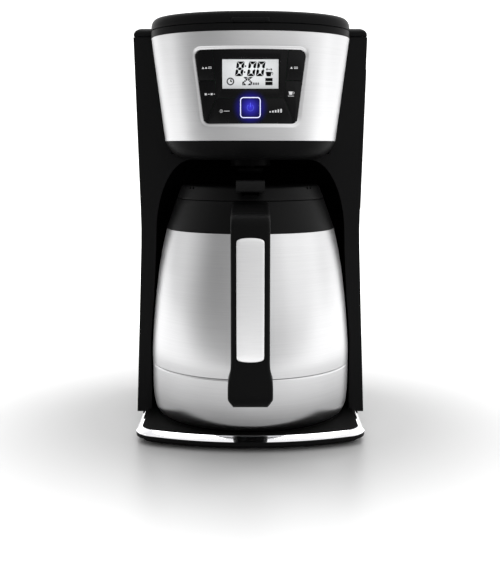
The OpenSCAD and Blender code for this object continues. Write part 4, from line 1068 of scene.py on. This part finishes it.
# marks: small generic symbols, no words
hx, hz = -33.2, 298.9
flat_shape([tri(hx - 2.9, hz, 1.0), tri(hx - 0.5, hz, 1.0), box_at(hx + 2.4, hz + 0.55, 2.8, 0.42), box_at(hx + 2.4, hz - 0.45, 2.8, 0.42)], CAPD, 0.06, "hour_mark", "print_white", "hour_key", "panel_gloss")
hx = 33.2
flat_shape([tri(hx - 2.0, hz, 1.0), box_at(hx + 1.4, hz + 0.55, 3.0, 0.42), box_at(hx + 1.4, hz - 0.45, 3.0, 0.42)], CAPD, 0.06, "minute_mark", "print_white", "minute_key", "panel_gloss")
hx, hz = -31.0, 279.3
flat_shape([box_at(hx - 3.2, hz, 1.5, 1.5), box_at(hx - 0.9, hz, 1.5, 0.45), box_at(hx + 1.4, hz, 1.5, 1.5), box_at(hx + 3.4, hz, 1.0, 0.45)], CAPD, 0.06, "program_mark", "print_white", "program_key", "panel_gloss")
hx, hz = 31.2, 279.8
cupm = [[(hx - 2.0, hz + 1.5), (hx + 1.2, hz + 1.5), (hx + 0.7, hz - 0.9), (hx - 1.5, hz - 0.9)]] + ring_polys(hx + 1.5, hz + 0.5, 0.95, 0.3, 10, -100, 90) + [box_at(hx - 0.2, hz - 1.9, 4.6, 0.4)]
flat_shape(cupm, CAPD, 0.06, "cup_mark", "print_white", "cup_key", "panel_gloss")
hx, hz = -19.3, 266.5
flat_shape(ring_polys(hx - 3.0, hz, 1.15, 0.3, 18) + [line(hx - 3.0, hz, hx - 3.0, hz + 0.8, 0.25), line(hx - 3.0, hz, hx - 2.4, hz - 0.3, 0.25), box_at(hx + 1.2, hz, 4.6, 0.42)], CAPD, 0.06, "auto_mark", "print_white", "auto_key", "panel_gloss")
hx, hz = 19.3, 266.5
flat_shape([box_at(hx - 4.2 + 2.1 * i, hz - 0.55 + 0.22 * i, 1.2, 1.0 + 0.44 * i) for i in range(5)], CAPD, 0.06, "strong_mark", "print_white", "strong_key", "panel_gloss")
# power symbol
flat_shape(ring_polys(0, 269.0, 2.75, 0.55, 26, 125, 415) + [box_at(0, 271.2, 0.6, 3.2)], 0.8, 0.08, "power_mark", "power_mark", "power_key", "power_blue")

# display: window, face and its figures
slab(lcd_hole, 1.1, 1.6, "display_window", "lcd_glass", "machine", ("lcd_window",), bev=0.08)
face_d = 2.6


def lcd_shape(polys, name, mat, slot, depth, t):
    V, F = [], []
    for pts in polys:
        n = len(pts)
        a = [(x, fy(z) + depth - t, z) for x, z in pts]
        b2 = [(x, fy(z) + depth, z) for x, z in pts]
        o = len(V)
        V += a + b2
        F.append(tuple(o + i for i in range(n)))
        F.append(tuple(o + n + i for i in reversed(range(n))))
        for i in range(n):
            j = (i + 1) % n
            F.append((o + i, o + n + i, o + n + j, o + j))
    return make(name, V, F, mat, "machine", slot=slot, angle=30)


def fy(z):
    """The display's flat face, tilted as the head's front is, behind the window's lowest point."""
    return surf_y(21.2, z) + 2.2


cad_copy("lcd_module", bevel=0.3)
lcd_shape([[(-22.9, 281.6), (22.9, 281.6), (22.9, 306.8), (-22.9, 306.8)]], "display_face", "lcd_face", "lcd_face", 0.5, 0.5)

SEG = {"0": "abcdef", "1": "bc", "2": "abged", "3": "abgcd", "4": "fgbc", "5": "afgcd", "6": "afgedc", "7": "abc", "8": "abcdefg", "9": "abcdfg"}


def digit(ch, x, z, w, h, t, slant=0.16):
    """Seven-segment figure with its lower left corner at x, z."""
    g = t * 0.12
    H = h / 2
    segs = {
        "a": [(g, h), (w - g, h), (w - g - t, h - t), (g + t, h - t)],
        "d": [(g, 0), (g + t, t), (w - g - t, t), (w - g, 0)],
        "g": [(g + t * 0.5, H), (g + t, H + t / 2), (w - g - t, H + t / 2), (w - g - t * 0.5, H), (w - g - t, H - t / 2), (g + t, H - t / 2)],
        "f": [(0, h - g), (t, h - t - g), (t, H + t / 2 + g), (t * 0.4, H + g), (0, H + g + t * 0.3)],
        "e": [(0, g), (0, H - g - t * 0.3), (t * 0.4, H - g), (t, H - t / 2 - g), (t, t + g)],
        "b": [(w, h - g), (w, H + g + t * 0.3), (w - t * 0.4, H + g), (w - t, H + t / 2 + g), (w - t, h - t - g)],
        "c": [(w, g), (w - t, t + g), (w - t, H - t / 2 - g), (w - t * 0.4, H - g), (w, H - g - t * 0.3)],
    }
    return [[(x + px + slant * pz, z + pz) for px, pz in segs[s]] for s in SEG[ch]]


ink = []
zt = 292.6
for ch, x in (("8", -11.8), ("0", -2.7), ("0", 4.0)):
    ink += digit(ch, x, zt, 5.8, 10.8, 2.0)
ink += [[(-4.9 + 0.16 * dz - 0.55, zt + dz - 0.55), (-4.9 + 0.16 * dz + 0.55, zt + dz - 0.55), (-4.9 + 0.16 * dz + 0.55, zt + dz + 0.55), (-4.9 + 0.16 * dz - 0.55, zt + dz + 0.55)] for dz in (3.0, 7.4)]
for ch, x in (("2", -6.4), ("5", -2.5)):
    ink += digit(ch, x, 285.9, 3.5, 6.1, 1.45)
# small clock at the left, dashes after the small figures
ink += ring_polys(-15.2, 288.7, 2.9, 0.85, 26)
ink += [line(-15.2, 288.7, -14.6, 290.4, 0.8), line(-15.2, 288.7, -13.9, 288.7, 0.8)]
ink += [box_at(2.3 + 1.25 * i, 287.0, 0.8, 1.7) for i in range(4)]
# cup at the right, strength bars under it
ink += [box_at(12.6, 297.6, 1.1, 1.3), box_at(14.2, 297.6, 1.1, 0.6), box_at(15.8, 297.6, 1.1, 1.3)]
ink += [[(11.6, 295.8), (16.2, 295.8), (15.4, 292.5), (12.4, 292.5)]]
ink += ring_polys(16.1, 294.5, 1.15, 0.4, 10, -70, 90)
ink += [box_at(14.1, 290.1, 5.5, 2.4), box_at(14.1, 287.2, 5.5, 2.6)]
# dark surround of the display
fw, fb, ft = 21.35, 283.35, 305.05
ink += [[(-22.9, 281.6), (22.9, 281.6), (22.9, fb), (-22.9, fb)], [(-22.9, ft), (22.9, ft), (22.9, 306.8), (-22.9, 306.8)],
        [(-22.9, fb), (-fw, fb), (-fw, ft), (-22.9, ft)], [(fw, fb), (22.9, fb), (22.9, ft), (fw, ft)]]
lcd_shape(ink, "display_figures", "lcd_ink", "lcd_face", 0.0, 0.05)

# ------------------------------------------------------------------ the rest of the frame, edges broken
# painted shade: the drip stop and the spray nozzle get the near-black bay plastic, standing for the shade under the
# head
for node, bv in (("rubber_feet", 0.3), ("cord_gland", 0.4), ("spray_nozzle", 0.3), ("heater_bracket", 0.2), ("thermostat", 0.3), ("power_board", 0.2),
                 ("control_board", 0.2), ("brew_basket", 0.0), ("drip_stop", 0.3), ("water_tank", 0.6), ("tank_valve", 0.3)):
    cad_copy(node, mat="bay_plastic" if node in ("drip_stop", "spray_nozzle") else None, bevel=bv, smooth=38)

# ------------------------------------------------------------------ floor, world and lights
fm, nt, b = new_mat("floor")
n = noise(nt, coords(nt), 0.01, 3)
nt.links.new(mix_col(nt, n, (0.42, 0.42, 0.42), (0.44, 0.44, 0.44)), b.inputs["Base Color"])
nt.links.new(remap(nt, n, 0.34, 0.40), b.inputs["Roughness"])
b.inputs["Specular IOR Level"].default_value = 0.45
# the sweep glows further out, as a lit white backdrop does, but not in front of the camera
sy = nt.nodes.new("ShaderNodeSeparateXYZ")
nt.links.new(coords(nt, (0.001, 0.001, 0.001)), sy.inputs[0])
ds = nt.nodes.new("ShaderNodeVectorMath"); ds.operation = "DISTANCE"
nt.links.new(coords(nt, (0.001, 0.001, 0.001)), ds.inputs[0])
ds.inputs[1].default_value = (0, 0.02, 0)
gr = nt.nodes.new("ShaderNodeMath"); gr.operation = "POWER"
nt.links.new(remap(nt, ds.outputs["Value"], 0.0, 1.0, 0.14, 0.48), gr.inputs[0]); gr.inputs[1].default_value = 1.25
fr = nt.nodes.new("ShaderNodeMath"); fr.operation = "MULTIPLY"
nt.links.new(remap(nt, sy.outputs[1], 0.0, 1.0, -0.60, -0.36), fr.inputs[0])
nt.links.new(gr.outputs[0], fr.inputs[1])
b.inputs["Emission Color"].default_value = (1, 1, 1, 1)
nt.links.new(remap(nt, fr.outputs[0], 0.0, 1.1), b.inputs["Emission Strength"])
me = bpy.data.meshes.new("floor")
R = 4.0
prof = [(-R, 0.0)] + [(y, 0.0) for y in np.linspace(-1.5, 1.2, 8)] + [(1.2 + 1.2 * math.sin(a), 1.2 - 1.2 * math.cos(a)) for a in np.linspace(0.1, math.pi / 2, 14)] + [(2.4, 3.2)]
vs, fs = [], []
for x in (-R, R):
    vs += [(x, y, z) for y, z in prof]
k = len(prof)
fs = [(i, i + 1, i + 1 + k, i + k) for i in range(k - 1)]
me.from_pydata(vs, [], fs)
fl_ob = bpy.data.objects.new("floor", me)
COL.objects.link(fl_ob)
me.materials.append(fm)
me.shade_smooth()

w = bpy.data.worlds.new("studio")
bpy.context.scene.world = w
w.use_nodes = True
nt = w.node_tree
nt.nodes.clear()
out = nt.nodes.new("ShaderNodeOutputWorld")
bg = nt.nodes.new("ShaderNodeBackground")
nt.links.new(bg.outputs[0], out.inputs[0])
tc = nt.nodes.new("ShaderNodeTexCoord")
sp = nt.nodes.new("ShaderNodeSeparateXYZ")
nt.links.new(tc.outputs["Generated"], sp.inputs[0])
neg = nt.nodes.new("ShaderNodeMath"); neg.operation = "MULTIPLY"; neg.inputs[1].default_value = -1
nt.links.new(sp.outputs[1], neg.inputs[0])
at = nt.nodes.new("ShaderNodeMath"); at.operation = "ARCTAN2"
nt.links.new(sp.outputs[0], at.inputs[0]); nt.links.new(neg.outputs[0], at.inputs[1])
az = remap(nt, at.outputs[0], 0.0, 1.0, -math.pi, math.pi)      # 0.5 is straight at the camera's side, 0 and 1 behind
ramp = nt.nodes.new("ShaderNodeValToRGB")
ramp.color_ramp.interpolation = "EASE"
stops = [(-180, 1.3), (-150, 1.7), (-130, 1.3), (-114, 0.9), (-92, 0.93), (-77, 0.62), (-64, 0.38), (-50, 0.36), (-33, 0.39), (-18, 0.58), (-6, 0.86),
         (6, 1.12), (20, 1.26), (36, 1.2), (52, 0.94), (68, 0.80), (90, 1.15), (122, 1.6), (150, 1.9), (180, 1.3)]
cr = ramp.color_ramp
cr.elements[0].position = 0.0; cr.elements[0].color = (stops[0][1],) * 3 + (1,)
cr.elements[1].position = 1.0; cr.elements[1].color = (stops[-1][1],) * 3 + (1,)
for a, val in stops[1:-1]:
    e = cr.elements.new((a + 180) / 360); e.color = (val,) * 3 + (1,)
nt.links.new(az, ramp.inputs[0])
top = remap(nt, sp.outputs[2], 0.0, 1.0, 0.55, 0.95)
mx = nt.nodes.new("ShaderNodeMix"); mx.data_type = "RGBA"
nt.links.new(top, mx.inputs[0]); nt.links.new(ramp.outputs[0], mx.inputs[6]); mx.inputs[7].default_value = (1.1, 1.1, 1.1, 1)
nt.links.new(mx.outputs[2], bg.inputs["Color"])
bg.inputs["Strength"].default_value = 1.0


def area(name, loc, target, size, power, size_y=None, spread=180):
    L = bpy.data.lights.new(name, "AREA")
    L.shape = "RECTANGLE"
    L.size = size; L.size_y = size_y or size
    L.energy = power
    L.spread = math.radians(spread)
    o = bpy.data.objects.new(name, L)
    COL.objects.link(o)
    o.location = loc
    d = Vector(target) - Vector(loc)
    o.rotation_euler = d.to_track_quat("-Z", "Y").to_euler()
    return o


area("top", (0.0, 0.45, 1.55), (0, 0.0, 0.1), 1.6, 16, 1.0)
area("right", (1.5, -0.6, 0.8), (0, 0, 0.15), 1.7, 6, 1.7)
area("left", (-1.5, -0.2, 0.8), (0, 0, 0.15), 1.4, 2.0, 1.4)

sc = bpy.context.scene
sc.view_settings.view_transform = "Standard"
sc.view_settings.look = "None"
sc.view_settings.exposure = 0.0
sc.view_settings.gamma = 1.0
